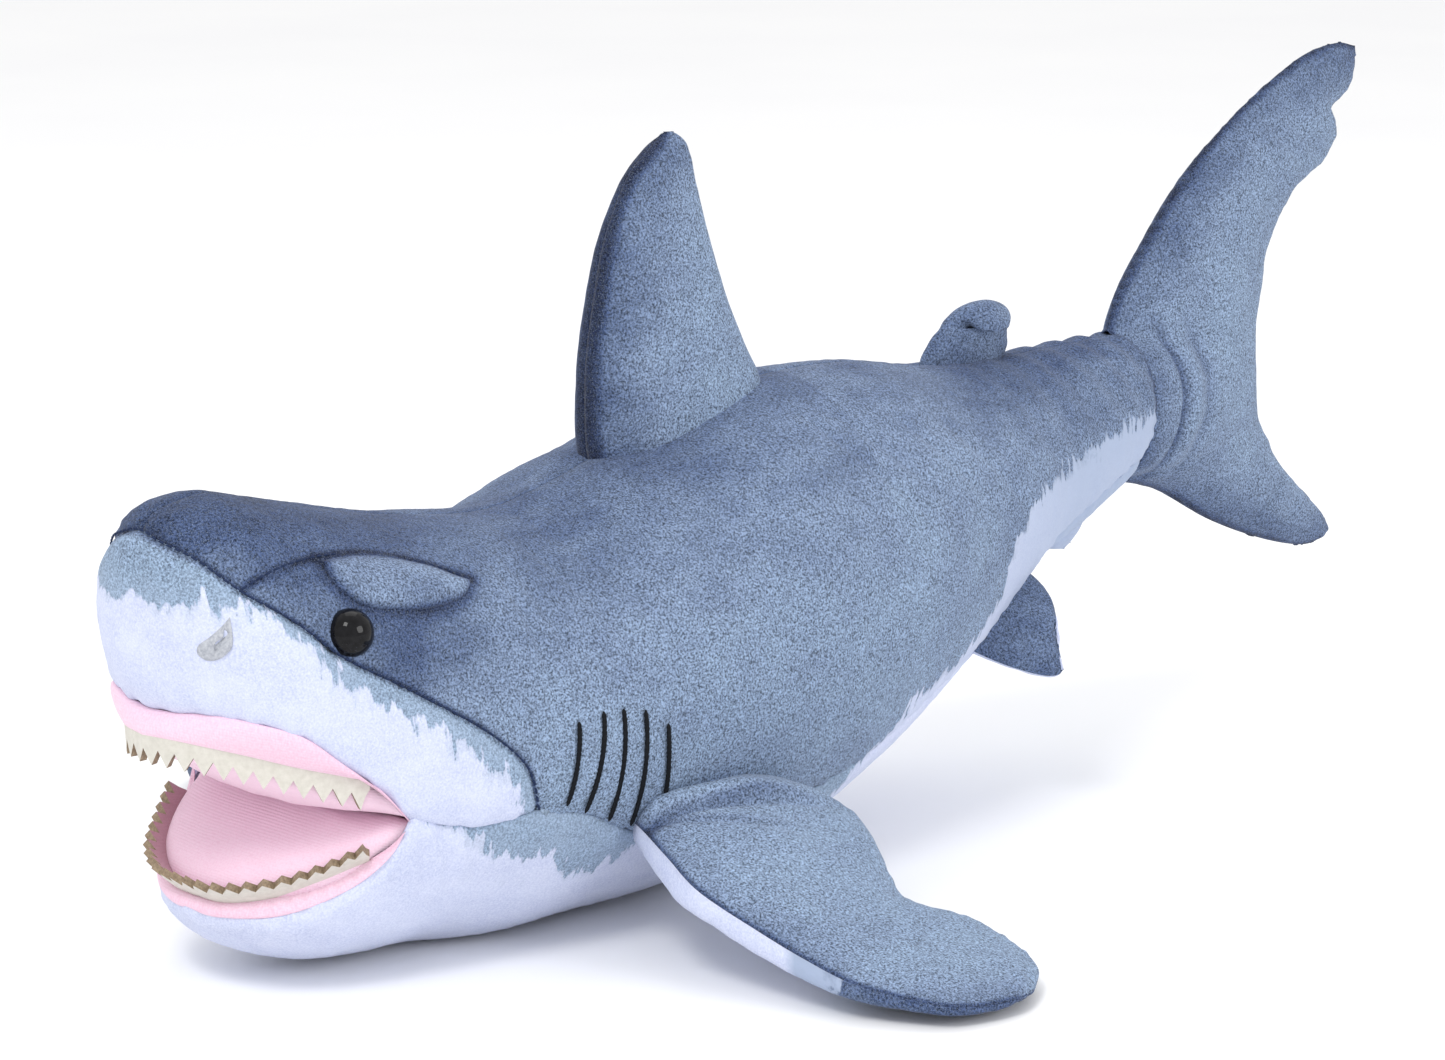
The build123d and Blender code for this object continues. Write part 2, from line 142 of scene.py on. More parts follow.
# Padded brow: its top edge, its lower edge, and the seam that runs over it.
BROW_TOP = [
    (37.6, 73.6, 150.4), (34.4, 88, 150), (33.5, 102.4, 147.2), (37.4, 120.8, 141.5),
    (43.8, 133.4, 135),
]
BROW_FOOT = [
    (37.6, 73.6, 150.4), (43.5, 75, 143), (47.5, 80, 136.8), (49.3, 97.6, 131.1),
    (49.6, 114.7, 130), (47.5, 127.5, 131.7), (43.8, 133.4, 135),
]
BROW_SEAM = [
    (35.5, 42.1, 145.3), (37.7, 52.8, 150), (35.9, 75, 151.5), (33.5, 102.4, 147.2),
    (37.4, 120.8, 141.5), (43.5, 133.2, 135.3),
]

# Soft creases on the flank: station and height of the middle, lean, half length, depth.
FLANK_CREASES = [
    (149, 112, 0.10, 26, 1.3), (157, 122, 0.25, 18, 0.8), (176, 126, 0.55, 18, 0.8),
    (196, 122, 0.60, 22, 0.9), (222, 124, 0.70, 18, 0.7), (318, 150, 0.95, 18, 1.0),
    (338, 146, 1.00, 20, 0.9), (360, 147, 0.95, 16, 0.9), (384, 142, 0.90, 18, 0.8),
]

EYE = (51.9, 75.0, 128.6)  # middle of the left eye button
EYE_AXIS = np.array([0.91, -0.18, 0.37])  # the way it faces
# Profile of the eye button: radius and height above its rim.
EYE_PROFILE = [
    (0.0, 6.6), (1.6, 6.5), (3.2, 6.0), (4.8, 5.1), (6.2, 3.8),
    (7.3, 2.2), (7.95, 0.6), (8.2, -0.8), (7.6, -1.8), (6.0, -2.2),
]
# Embroidered gill lines: station and height of each one's top and foot.
GILLS = [
    ((156, 87), (151, 58)), ((166.6, 88.6), (159, 54)), ((175, 88), (170, 49)),
    ((184, 86), (180.5, 45)), ((193, 80), (193.5, 51)),
]


def upright(*sections):
    """Sections of a fin on the middle plane, whose edges are given as (station, height)."""
    return [((0, *front), (0, *back), half) for front, back, half in sections]


# Fins as sections from root to tip: front edge, back edge, half thickness.
DORSAL = upright(
    ((228.5, 150), (303, 160), 18), ((225.5, 165), (308, 176), 18.5),
    ((225.5, 190), (300, 192), 17), ((229, 212), (292, 210), 14.5),
    ((235, 236), (284.5, 231), 11), ((246, 257), (279, 252), 7.5), ((257, 267), (275, 267), 5),
    ((265, 272.5), (269, 272.3), 0),
)
SECOND_DORSAL = upright(
    ((401, 160), (446, 160), 5), ((401, 172), (449, 170), 6), ((406, 178), (450, 177), 6.5),
    ((413, 184), (448, 184), 6.5), ((420, 190), (445, 190), 6), ((425, 196), (441, 197), 5),
    ((430, 202), (435, 202), 0),
)
ANAL = upright(
    ((464, 100), (504, 112), 5), ((468, 92), (500, 103), 6), ((476, 86), (496, 94), 5),
    ((486, 84), (490, 86), 0),
)
PECTORAL = [
    ((58, 190, 44), (62, 250, 46), 9), ((76, 181, 45), (82, 252, 47), 11),
    ((98, 173, 41), (96, 263, 39.5), 12), ((119, 168, 34.5), (112, 259, 33), 11.5),
    ((142, 173, 25), (130, 250, 24), 10), ((160, 177, 18.5), (141, 248, 18.5), 8.5),
    ((178, 181, 13.5), (160, 259, 14), 7), ((195, 190, 10), (182, 258, 10), 5.5),
    ((207, 199, 8), (198, 251, 7.5), 4), ((212, 214, 6.5), (207, 240, 6), 2.5),
    ((213, 226, 6), (212, 230, 6), 0),
]
PELVIC = [
    ((30, 378, 78), (24, 422, 96), 4), ((40, 383, 69), (32, 424, 92), 5.5),
    ((49, 391, 63), (40, 425, 88), 5.5), ((57, 399, 59), (46.5, 425, 83), 4.5),
    ((62.5, 405, 57), (51, 423.5, 78), 3.5), ((65.5, 409.5, 57), (54.5, 420.5, 74), 1.5),
    ((66.2, 412, 59), (56, 418, 71.5), 0),
]
CAUDAL = upright(
    ((667, 275), (668, 271), 0), ((655, 277), (664, 258), 3.5), ((635, 274), (651, 248.5), 5),
    ((615, 266), (656, 240), 6), ((592, 254), (648, 228), 7.5), ((566, 237), (626, 216), 10),
    ((545, 219), (611, 195), 12), ((530, 202), (607, 178), 13.5),
    ((517, 186), (604, 165), 14.5), ((510, 169), (604, 154), 15), ((515, 154), (604, 146), 15),
    ((515, 139.5), (604.5, 139), 15), ((515, 125), (605.5, 131), 14.5),
    ((515, 110), (608, 122), 13.5), ((532, 104), (615, 112), 11), ((546, 99), (622, 102), 9),
    ((579, 82), (640, 86), 7.5), ((613, 69), (654, 74), 6), ((640, 62), (659, 67), 3.5),
    ((653, 62.5), (657, 64), 0),
)


# ------------------------------------------------------------------ curves and surfaces
def smooth(keys, values, at):
    """Smooth curve through values at keys, read at other places."""
    keys = np.asarray(keys, float)
    values = np.asarray(values, float)
    at = np.clip(np.asarray(at, float), keys[0], keys[-1])
    gaps = np.diff(keys)
    wide = (slice(None),) + (None,) * (values.ndim - 1)
    slopes = np.diff(values, axis=0) / gaps[wide]
    before, after = gaps[:-1][wide], gaps[1:][wide]
    tangents = np.empty_like(values)
    tangents[0], tangents[-1] = slopes[0], slopes[-1]
    tangents[1:-1] = (slopes[:-1] * after + slopes[1:] * before) / (before + after)
    k = np.clip(np.searchsorted(keys, at) - 1, 0, len(keys) - 2)
    gap = gaps[k]
    t = (at - keys[k]) / gap
    if values.ndim > 1:
        t, gap = t[..., None], gap[..., None]
    return (
        (1 + 2 * t) * (1 - t) ** 2 * values[k] + t * (1 - t) ** 2 * gap * tangents[k]
        + t * t * (3 - 2 * t) * values[k + 1] - t * t * (1 - t) * gap * tangents[k + 1]
    )


def unit(vectors):
    """Vectors scaled to a length of one."""
    return vectors / np.maximum(np.linalg.norm(vectors, axis=-1, keepdims=True), 1e-9)


def ramp(value, start, end):
    """0 before start and 1 past end, straight between them."""
    return np.clip((value - start) / (end - start), 0, 1)


def hump(value, width, power=2):
    """1 where the value is 0, fading to 0 on both sides of it."""
    return np.exp(-((value / width) ** power))


def lengths(points):
    """Distance along a row of points."""
    steps = np.linalg.norm(np.diff(points, axis=0), axis=1)
    return np.concatenate([[0], np.cumsum(steps)])


def along(points, shares):
    """Points at shares of the length of the smooth curve through points."""
    points = np.asarray(points, float)
    keys = lengths(points)
    dense = smooth(keys, points, np.linspace(0, keys[-1], 40 * len(points)))
    gone = lengths(dense)
    at = np.asarray(shares) * gone[-1]
    return np.stack([np.interp(at, gone, dense[:, axis]) for axis in range(3)], axis=-1)


def body_section(station):
    """Centre height, half height and half width of the body at a station."""
    table = np.array(BODY, float)
    keys = np.sqrt(table[:, 0] - NOSE)
    at = np.sqrt(np.clip(station, NOSE, TAIL_JOINT) - NOSE)
    top, bottom, half = smooth(keys, table[:, 1:], at).T
    return (top + bottom).T / 2, np.maximum(top - bottom, 0.01).T / 2, np.maximum(half, 0.01).T


def body_point(station, turn):
    """Point of the body surface at a station, turned from the back towards the left."""
    centre, high, wide = body_section(station)
    return np.stack([wide * np.sin(turn), station, centre + high * np.cos(turn)], axis=-1)


def body_turn(points):
    """How far round the body points lie."""
    points = np.asarray(points, float)
    centre, high, wide = body_section(points[..., 1])
    return np.arctan2(points[..., 0] / wide, (points[..., 2] - centre) / high)


def body_outwards(points):
    """Outward direction of the body surface."""
    centre, high, wide = body_section(points[:, 1])
    out = np.stack([points[:, 0] / wide**2, 0 * wide, (points[:, 2] - centre) / high**2], axis=1)
    return unit(out)


def on_body(points, lift=0.0):
    """Points moved on to the body surface and a little off it."""
    points = np.asarray(points, float)
    flat = points.reshape(-1, 3)
    flat = body_point(flat[:, 1], body_turn(flat))
    flat = flat + body_outwards(flat) * np.reshape(lift, (-1, 1))
    return flat.reshape(points.shape)


def edge_height(station):
    """Height of the underside panel's upper edge."""
    line = np.array(UNDERSIDE_EDGE, float)
    return smooth(line[:, 0], line[:, 1], station)


def belly_seam():
    """Seam between the left side and the underside, from the cheek to the tail."""
    station = np.linspace(162, TAIL_JOINT, 24)
    height = edge_height(station)
    centre, high, wide = body_section(station)
    x = wide * np.sqrt(1 - ((height - centre) / high) ** 2)
    return [tuple(point) for point in np.stack([x, station, height], axis=1)]


def cast(origin, towards):
    """Where rays from inside the head meet its surface."""
    near, far = np.zeros(towards.shape[:-1]), np.full(towards.shape[:-1], 200.0)
    for _ in range(34):
        middle = (near + far) / 2
        spot = origin + towards * middle[..., None]
        flat = spot.reshape(-1, 3)
        centre, high, wide = body_section(flat[:, 1])
        out = (flat[:, 0] / wide) ** 2 + ((flat[:, 2] - centre) / high) ** 2 > 1
        out = (out | (flat[:, 1] < NOSE)).reshape(middle.shape)
        far = np.where(out, middle, far)
        near = np.where(out, near, middle)
    return origin + towards * ((near + far) / 2)[..., None]


def ripple(points, size, seed):
    """Smooth seeded unevenness, about -1 to 1, with features of a size in millimetres."""
    rng = np.random.default_rng(seed)
    total = np.zeros(points.shape[:-1])
    for _ in range(10):
        way = unit(rng.normal(size=3)) * 2 * math.pi / size * rng.uniform(0.6, 1.5)
        total += np.sin(points @ way + rng.uniform(0, 2 * math.pi))
    return total / 3.2


def facing(grid, inside):
    """Unit normals of a grid of points, away from inside points."""
    normal = unit(np.cross(np.gradient(grid, axis=0), np.gradient(grid, axis=1)))
    return normal if np.sum(normal * (grid - inside)) > 0 else -normal


def edge_distance(grid, axis, end):
    """Distance of each grid point from one end of its row (axis 1) or column (axis 0)."""
    steps = np.linalg.norm(np.diff(grid, axis=axis), axis=-1)
    zero = np.zeros_like(np.take(steps, [0], axis=axis))
    gone = np.concatenate([zero, np.cumsum(steps, axis=axis)], axis=axis)
    return np.take(gone, [-1], axis=axis) - gone if end else gone


def pinch(distance, depth, reach=3.0):
    """How far cloth is drawn in beside a seam."""
    return depth * hump(distance, reach, 1.3)


def pucker(grid, distance, seed, size=7.0, height=0.45):
    """Small gathers that fade away from a seam."""
    return height * ripple(grid, size, seed) * np.exp(-distance / 9.0)


def print_distance(points, line):
    """Signed distance above a printed edge, given in side view."""
    line = np.asarray(line, float)
    spots = points[:, 1:]
    best = np.full(len(spots), 1e9)
    for start, end in zip(line[:-1], line[1:]):
        way = end - start
        share = np.clip(((spots - start) @ way) / (way @ way), 0, 1)
        best = np.minimum(best, np.linalg.norm(spots - start - share[:, None] * way, axis=1))
    above = spots[:, 1] > np.interp(spots[:, 0], line[:, 0], line[:, 1])
    return np.where(above, best, -best)


# --------------------------------------------------------------------------- mesh making
def to_frame(points):
    """Shark points in millimetres to row-frame metres."""
    points = np.asarray(points, float)
    moved = points.copy()
    moved[..., 1] -= MID_STATION
    return moved * MM


def from_frame(o):
    """An object's vertices as shark points in millimetres."""
    flat = np.zeros(len(o.data.vertices) * 3)
    o.data.vertices.foreach_get("co", flat)
    points = flat.reshape(-1, 3) / MM
    points[:, 1] += MID_STATION
    return points


def build(name, points, faces, materials, indices=None):
    """Object from points and faces, welded, with its normals outwards and smooth shading."""
    mesh = bpy.data.meshes.new(name)
    mesh.from_pydata(to_frame(points).tolist(), [], [tuple(map(int, f)) for f in faces])
    for material in materials:
        mesh.materials.append(material)
    if indices is not None:
        mesh.polygons.foreach_set("material_index", np.asarray(indices, dtype=np.int32))
    work = bmesh.new()
    work.from_mesh(mesh)
    bmesh.ops.remove_doubles(work, verts=work.verts, dist=0.02 * MM)
    bmesh.ops.dissolve_degenerate(work, edges=work.edges, dist=0.01 * MM)
    bmesh.ops.recalc_face_normals(work, faces=work.faces)
    work.to_mesh(mesh)
    work.free()
    mesh.polygons.foreach_set("use_smooth", np.ones(len(mesh.polygons), dtype=bool))
    mesh.update()
    o = bpy.data.objects.new(name, mesh)
    bpy.context.scene.collection.objects.link(o)
    return o


def quads(rows, columns, start=0, closed=False):
    """Faces of a grid of points, closed along its columns if asked."""
    across = np.arange(columns if closed else columns - 1)
    i, j = np.meshgrid(np.arange(rows - 1), across, indexing="ij")
    k = (j + 1) % columns
    here, below = start + i * columns, start + (i + 1) * columns
    return np.stack([here + j, here + k, below + k, below + j], -1).reshape(-1, 4)


def two_faced(name, front, behind, material):
    """Closed piece from two grids of points, with a rim between their edges."""
    rows, columns = front.shape[:2]
    count = rows * columns
    points = np.concatenate([front.reshape(-1, 3), behind.reshape(-1, 3)])
    ids = np.arange(count).reshape(rows, columns)
    ring = np.concatenate([ids[0, :], ids[1:, -1], ids[-1, -2::-1], ids[-2:0:-1, 0]])
    after = np.roll(ring, -1)
    rim = np.stack([ring, after, after + count, ring + count], -1)
    faces = [quads(rows, columns), quads(rows, columns, count)[:, ::-1], rim]
    return build(name, points, np.concatenate(faces), [material])


def shell(name, grid, normal, thickness=BODY_CLOTH):
    """Closed shell of plush: the grid and an inner face below it."""
    return two_faced(name, grid, grid - normal * thickness, plush_cloth)


def tubes(name, every, material):
    """Closed tubes in one mesh, each from rings of points and capped at both ends."""
    points, faces = [], []
    for rings in every:
        count, sides = rings.shape[:2]
        start = len(points)
        points.extend(rings.reshape(-1, 3))
        faces += quads(count, sides, start, closed=True).tolist()
        faces.append(range(start, start + sides))
        faces.append(range(len(points) - sides, len(points)))
    return build(name, np.array(points), faces, [material])


def paint(o, printed=50.0, shade=0.0):
    """Store what the cloth shaders read: place at rest, print distance and darkness."""
    mesh = o.data
    points = from_frame(o)
    rest = mesh.attributes.new("rest", "FLOAT_VECTOR", "POINT")
    rest.data.foreach_set("vector", (points * MM).ravel().astype(np.float32))
    for label, value in (("printed", printed), ("shade", shade)):
        values = value(points) if callable(value) else np.full(len(points), value)
        attribute = mesh.attributes.new(label, "FLOAT", "POINT")
        attribute.data.foreach_set("value", values.astype(np.float32))


def declare(piece, body, slot, *nodes, fill=None):
    """Say which body carries a piece and what it stands for; its material slot and its fill are not
    used.
    """
    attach(piece, body)
    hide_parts(*nodes)


def mirror_points(grid):
    """The same points on the shark's other side."""
    return grid * np.array([-1, 1, 1])


def beside(points, line, reach):
    """How close points are to a line on either side of the shark: 1 on it, 0 away from it."""
    spots = points.copy()
    spots[:, 0] = np.abs(spots[:, 0])
    line = along(line, np.linspace(0, 1, 160))
    away = np.full(len(spots), 1e9)
    for place in line:
        away = np.minimum(away, np.sum((spots - place) ** 2, axis=1))
    return np.exp(-away / reach**2)


# ----------------------------------------------------------------------------- materials
class Shader:
    """A small help for building one material's nodes. A value is a number or a socket."""

    def __init__(self, name):
        self.material = bpy.data.materials.new(name)
        self.material.use_nodes = True
        self.tree = self.material.node_tree
        self.surface = self.tree.nodes["Principled BSDF"]

    def node(self, kind, settings=None, **inputs):
        """A new node with its inputs fed by name, or by number as i0, i1 and so on."""
        made = self.tree.nodes.new(kind)
        for key, value in (settings or {}).items():
            setattr(made, key, value)
        for key, value in inputs.items():
            numbered = key[0] == "i" and key[1:].isdigit()
            self.feed(made.inputs[int(key[1:]) if numbered else key], value)
        return made

    def feed(self, socket, value):
        """Link a socket to another one, or set its own value."""
        if isinstance(value, bpy.types.NodeSocket):
            self.tree.links.new(value, socket)
        else:
            socket.default_value = value

    def read(self, name, output="Fac"):
        """A value stored on the mesh."""
        return self.node("ShaderNodeAttribute", {"attribute_name": name}).outputs[output]

    def noise(self, place, scale, detail=2.0, roughness=0.5):
        """Cloudy noise, with its scale in features per metre."""
        settings = {"Vector": place, "Scale": scale, "Detail": detail, "Roughness": roughness}
        return self.node("ShaderNodeTexNoise", **settings).outputs["Fac"]

    def stretch(self, place, scale):
        """A place with each axis scaled."""
        made = self.node("ShaderNodeVectorMath", {"operation": "MULTIPLY"}, i0=place, i1=scale)
        return made.outputs[0]

    def calc(self, operation, first, second=0.0, third=0.0, clamp=False):
        """One step of arithmetic."""
        settings = {"operation": operation, "use_clamp": clamp}
        return self.node("ShaderNodeMath", settings, i0=first, i1=second, i2=third).outputs[0]

    def span(self, value, low, high, to_low=0.0, to_high=1.0):
        """A value's run from low to high, moved to another run and held at its ends."""
        made = self.node("ShaderNodeMapRange", i0=value, i1=low, i2=high, i3=to_low, i4=to_high)
        return made.outputs[0]

    def mix(self, share, first, second, blend="MIX"):
        """A share of the second colour over the first."""
        made = self.node("ShaderNodeMix", {"data_type": "RGBA", "blend_type": blend})
        self.feed(made.inputs[0], share)
        self.feed(made.inputs[6], first)
        self.feed(made.inputs[7], second)
        return made.outputs[2]

    def finish(
        self, colour, height=None, depth=0.3, strength=0.5, roughness=0.95, sheen=0.0,
        specular=0.2,
    ):
        """The material, with its colour, its bumps as deep as depth in millimetres and its gloss."""
        self.feed(self.surface.inputs["Base Color"], colour)
        self.feed(self.surface.inputs["Roughness"], roughness)
        self.surface.inputs["Specular IOR Level"].default_value = specular
        self.surface.inputs["Sheen Weight"].default_value = sheen
        self.surface.inputs["Sheen Roughness"].default_value = 0.45
        if height is not None:
            bump = self.node("ShaderNodeBump", Height=height, Distance=depth * MM, Strength=strength)
            self.feed(self.surface.inputs["Normal"], bump.outputs[0])
        return self.material


# Colours of the plush, from its palest print to its darkest seams, whose darkness is partly painted
# shade in their creases, and the white in painted shade.
BLUE_PALE = (0.330, 0.420, 0.560, 1)
BLUE_LIGHT = (0.215, 0.290, 0.400, 1)
BLUE = (0.150, 0.200, 0.300, 1)
NAVY = (0.045, 0.068, 0.140, 1)
# Near black for the seams: the dark seam line and painted shade in its crease.
SEAM_DARK_AND_SHADE = (0.012, 0.018, 0.045, 1)
WHITE = (0.66, 0.70, 0.86, 1)
WHITE_SHADE = (0.47, 0.52, 0.72, 1)
# White cloth in painted shade, as below the tail.
WHITE_IN_SHADE = (0.36, 0.43, 0.58, 1)


def plush(name):
    """Short-pile plush, blue where the print distance is positive and white elsewhere."""
    s = Shader(name)
    rest = s.read("rest", "Vector")
    shade = s.read("shade")
    grain = s.noise(rest, 1300.0, 2.0, 0.65)
    fine = s.noise(rest, 3600.0, 1.0)
    cloud = s.noise(rest, 26.0, 4.0, 0.6)
    patch = s.noise(s.stretch(rest, (1.0, 0.5, 1.0)), 75.0, 4.0, 0.65)
    jag = s.noise(s.stretch(rest, (0.4, 1.0, 0.22)), 330.0, 3.0, 0.6)
    wander = s.noise(rest, 85.0, 3.0)
    dark = s.calc("ADD", shade, s.span(cloud, 0.3, 0.7, -0.13, 0.13))
    dark = s.calc("ADD", dark, s.span(patch, 0.35, 0.65, -0.08, 0.08))
    pale = s.mix(s.span(dark, -0.5, 0.0), BLUE_PALE, BLUE_LIGHT)
    low = s.mix(s.span(dark, 0.0, 0.5), pale, BLUE)
    blue = s.mix(s.span(dark, 0.5, 1.0), low, NAVY)
    # Painted shade: past 1 the darkness turns the seams near black, seam line and crease shade
    # together.
    blue = s.mix(s.span(dark, 1.0, 1.5), blue, SEAM_DARK_AND_SHADE)
    least = s.span(dark, -0.4, 0.3, 0.78, 0.30)
    most = s.span(dark, -0.4, 0.3, 1.22, 1.95)
    heather = s.span(grain, 0.34, 0.66, least, most)
    blue = s.mix(1.0, blue, heather, "MULTIPLY")
    speck = s.span(fine, 0.55, 0.75, 0.0, 0.45)
    blue = s.mix(speck, blue, (0.35, 0.42, 0.52, 1))
    white = s.mix(s.span(grain, 0.3, 0.7), WHITE_SHADE, WHITE)
    white = s.mix(s.span(patch, 0.35, 0.75, 0.0, 0.45), white, (0.74, 0.78, 0.92, 1))
    # Painted shade: where the shade value is high, as below the tail, the white greys.
    white = s.mix(s.span(shade, 0.25, 0.65), white, WHITE_IN_SHADE)
    jagged = s.calc("ADD", s.read("printed"), s.span(jag, 0.25, 0.75, -5.5, 5.5))
    jagged = s.calc("ADD", jagged, s.span(wander, 0.3, 0.7, -3.0, 3.0))
    printed = s.span(jagged, -0.9, 0.9)
    blot = s.calc("ADD", jagged, s.span(patch, 0.35, 0.65, -4.0, 7.0))
    printed = s.calc("MAXIMUM", printed, s.span(blot, -1.0, 6.0, 0.0, 0.38))
    colour = s.mix(printed, white, blue)
    height = s.calc("ADD", s.calc("MULTIPLY", grain, 0.7), s.calc("MULTIPLY", fine, 0.3))
    return s.finish(colour, height, 0.5, 0.5, 0.98, 0.10, 0.10)


def knit(name, light, dark, rows=1050.0):
    """Fine rib knit in rows, with a soft uneven tint."""
    s = Shader(name)
    rest = s.read("rest", "Vector")
    bend = s.noise(rest, 40.0, 2.0)
    parts = s.node("ShaderNodeSeparateXYZ", i0=rest).outputs
    slope = s.calc("ADD", parts[2], s.calc("MULTIPLY", parts[1], 0.25))
    phase = s.calc("MULTIPLY_ADD", slope, rows * 6.2832, s.calc("MULTIPLY", bend, 9.0))
    row = s.span(s.calc("SINE", phase), -1.0, 1.0)
    stitch = s.noise(s.stretch(rest, (1.0, 1.0, 0.5)), 1500.0, 2.0)
    shade = s.calc("ADD", s.read("shade"), s.span(stitch, 0.3, 0.7, -0.10, 0.12))
    shade = s.calc("ADD", shade, s.calc("MULTIPLY", row, -0.045))
    colour = s.mix(s.calc("ADD", shade, 0.12, clamp=True), light, dark)
    height = s.calc("ADD", s.calc("MULTIPLY", row, 0.4), s.calc("MULTIPLY", stitch, 0.6))
    return s.finish(colour, height, 0.28, 0.5, 0.9, 0.15, 0.2)


def leatherette(name, light, dark, scale=420.0):
    """Smooth coated cloth with a faint pebble and mottled tint."""
    s = Shader(name)
    rest = s.read("rest", "Vector")
    mottle = s.noise(rest, scale, 4.0, 0.65)
    colour = s.mix(s.span(mottle, 0.35, 0.7), light, dark)
    return s.finish(colour, mottle, 0.15, 0.35, 0.62, 0.0, 0.35)


def thread(name, colour, rough=0.7):
    """Twisted sewing thread."""
    s = Shader(name)
    twist = s.noise(s.stretch(s.read("rest", "Vector"), (1.0, 1.0, 2.5)), 1400.0, 2.0)
    lighter = tuple(min(1.0, 1.8 * part + 0.004) for part in colour[:3]) + (1,)
    tint = s.mix(s.span(twist, 0.35, 0.75), colour, lighter)
    return s.finish(tint, twist, 0.2, 0.5, rough, 0.0, 0.12)


def button_plastic(name):
    """Polished black plastic with faint marks in its gloss."""
    s = Shader(name)
    marks = s.noise(s.read("rest", "Vector"), 500.0, 3.0)
    colour = s.mix(s.span(marks, 0.4, 0.8), (0.004, 0.004, 0.005, 1), (0.010, 0.010, 0.012, 1))
    rough = s.span(marks, 0.3, 0.8, 0.035, 0.09)
    return s.finish(colour, None, roughness=rough, specular=0.18)


plush_cloth = plush("blue_and_white_plush")
knit_pink = knit("pink_knit", (0.88, 0.66, 0.78, 1), (0.66, 0.20, 0.38, 1))
# Inner faces of the tooth strips: dusty pink backing, painted darker for the shade inside the mouth.
mauve = knit("mauve_lining", (0.42, 0.25, 0.29, 1), (0.30, 0.10, 0.17, 1))
tooth_face = leatherette("tooth_cloth", (0.66, 0.64, 0.58, 1), (0.57, 0.55, 0.49, 1))
tooth_edge = leatherette("tooth_cut_edge", (0.34, 0.27, 0.18, 1), (0.17, 0.12, 0.075, 1), 900.0)
felt = leatherette("nostril_felt", (0.50, 0.52, 0.56, 1), (0.30, 0.32, 0.37, 1), 900.0)
black_thread = thread("black_thread", (0.004, 0.005, 0.007, 1))
navy_thread = thread("navy_thread", (0.014, 0.024, 0.060, 1))
eye_black = button_plastic("eye_black")


# --------------------------------------------------------------------------- body panels
def spread(start, end, step, soft=10.0):
    """Stations that begin close together, because a rounded end needs them."""
    count = int(math.sqrt(((end - start) / step + soft) ** 2 - soft**2)) + 1
    k = np.arange(count + 1)
    run = np.sqrt(k * k + soft * soft) - soft
    return start + run / run[-1] * (end - start)


def lay_on_floor(grid):
    """Flatten what would be under the floor."""
    settled = grid.copy()
    low = grid[..., 2]
    settled[..., 2] = np.where(low < 4, 4 * np.exp(np.minimum(low - 4, 0) / 4), low)
    return settled


def tail_wrinkles(grid):
    """Soft ring folds where the body narrows to the tail."""
    station, turn = grid[..., 1], body_turn(grid)
    reach = ramp(station, 400, 460) * ramp(station, TAIL_JOINT, TAIL_JOINT - 6)
    lean = station + 16 * np.cos(turn) + 3 * ripple(grid, 60, 5)
    return 0.75 * reach * np.sin(lean / 17 * 2 * math.pi) * hump(turn, 1.5)


def flank_creases(grid):
    """Depth of the soft creases on the flank."""
    station, height = grid[..., 1], grid[..., 2]
    depth = np.zeros(station.shape)
    for at, level, lean, half_long, deep in FLANK_CREASES:
        across = station - at + lean * (height - level)
        depth += deep * hump(across, 2.4) * hump(height - level, half_long, 4)
    return depth


def side_grid():
    """Left side of the body, from the middle of the back down to the belly seam."""
    shares = np.linspace(0, 1, 330)
    seam = along(HEAD_SEAM + belly_seam(), shares)
    station = seam[:, 1]
    ridge = 30 + shares * (TAIL_JOINT - 30)
    share = ramp(station, 45, 205) ** 0.7
    ridge = ridge * (1 - share) + station * share
    ridge = np.maximum.accumulate(np.maximum(ridge, 30.0))
    across = np.linspace(0, 1, 92)[None, :]
    stations = ridge[:, None] * (1 - across) + station[:, None] * across
    turns = body_turn(seam)[:, None] * across
    grid = body_point(stations.ravel(), turns.ravel()).reshape(*stations.shape, 3)
    normal = facing(grid, grid * np.array([0, 1, 0]) + np.array([0, 0, 95]))
    from_back = edge_distance(grid, 1, False)
    from_seam = edge_distance(grid, 1, True)
    from_tail = edge_distance(grid, 0, True)
    lift = -pinch(from_seam, SEAM_DEPTH) - pinch(from_back, 0.8, 2.0) - pinch(from_tail, 2.2, 4.0)
    lift += pucker(grid, np.minimum(from_seam, from_tail), 11)
    lift += 0.8 * ripple(grid, 75, 21) * ramp(from_seam, 0, 12) * ramp(from_back, 0, 12)
    lift += tail_wrinkles(grid) * ramp(from_back, 0, 6)
    lift += 0.10 * ripple(grid, 7, 23)
    lift -= flank_creases(grid) * ramp(from_back, 0, 10)
    return lay_on_floor(grid + normal * lift[..., None]), normal


def side_shade(points):
    """Darker on the head, along the back, low down and at the tail, where on the white cloth it is
    painted shade; darker along the seams, partly painted shade in their creases, with painted shadow
    under the brow and painted shade in the tail joint.
    """
    station, height = points[:, 1], points[:, 2]
    turn = np.abs(body_turn(points))
    back = 0.62 * hump(turn, 1.0) * (0.75 + 0.25 * (station < 320))
    head = 0.29 * ramp(station, 150, 90) * ramp(turn, 1.8, 0.8)
    near_eye = 0.22 * hump(station - 95, 45) * hump(height - 118, 22)
    # On the white cloth below the tail this darkening is painted shade.
    tail = 0.30 * ramp(station, 330, 450)
    low = 0.10 * ramp(height, 70, 30)
    # Seam lines of the head and the brow, partly painted shade in their creases.
    seam = 0.80 * beside(points, on_body(HEAD_SEAM, -1.5), 1.3)
    brow = 0.75 * beside(points, on_body(BROW_SEAM), 1.5)
    # Painted shadow under the brow pad.
    shadow_under_brow = 0.40 * beside(points, on_body(BROW_FOOT), 3.0)
    # Painted shade in the crease of the tail joint.
    joint = 1.1 * hump(station - TAIL_JOINT, 2.2)
    return 0.27 + back + head + near_eye + tail + low + seam + brow + shadow_under_brow + joint


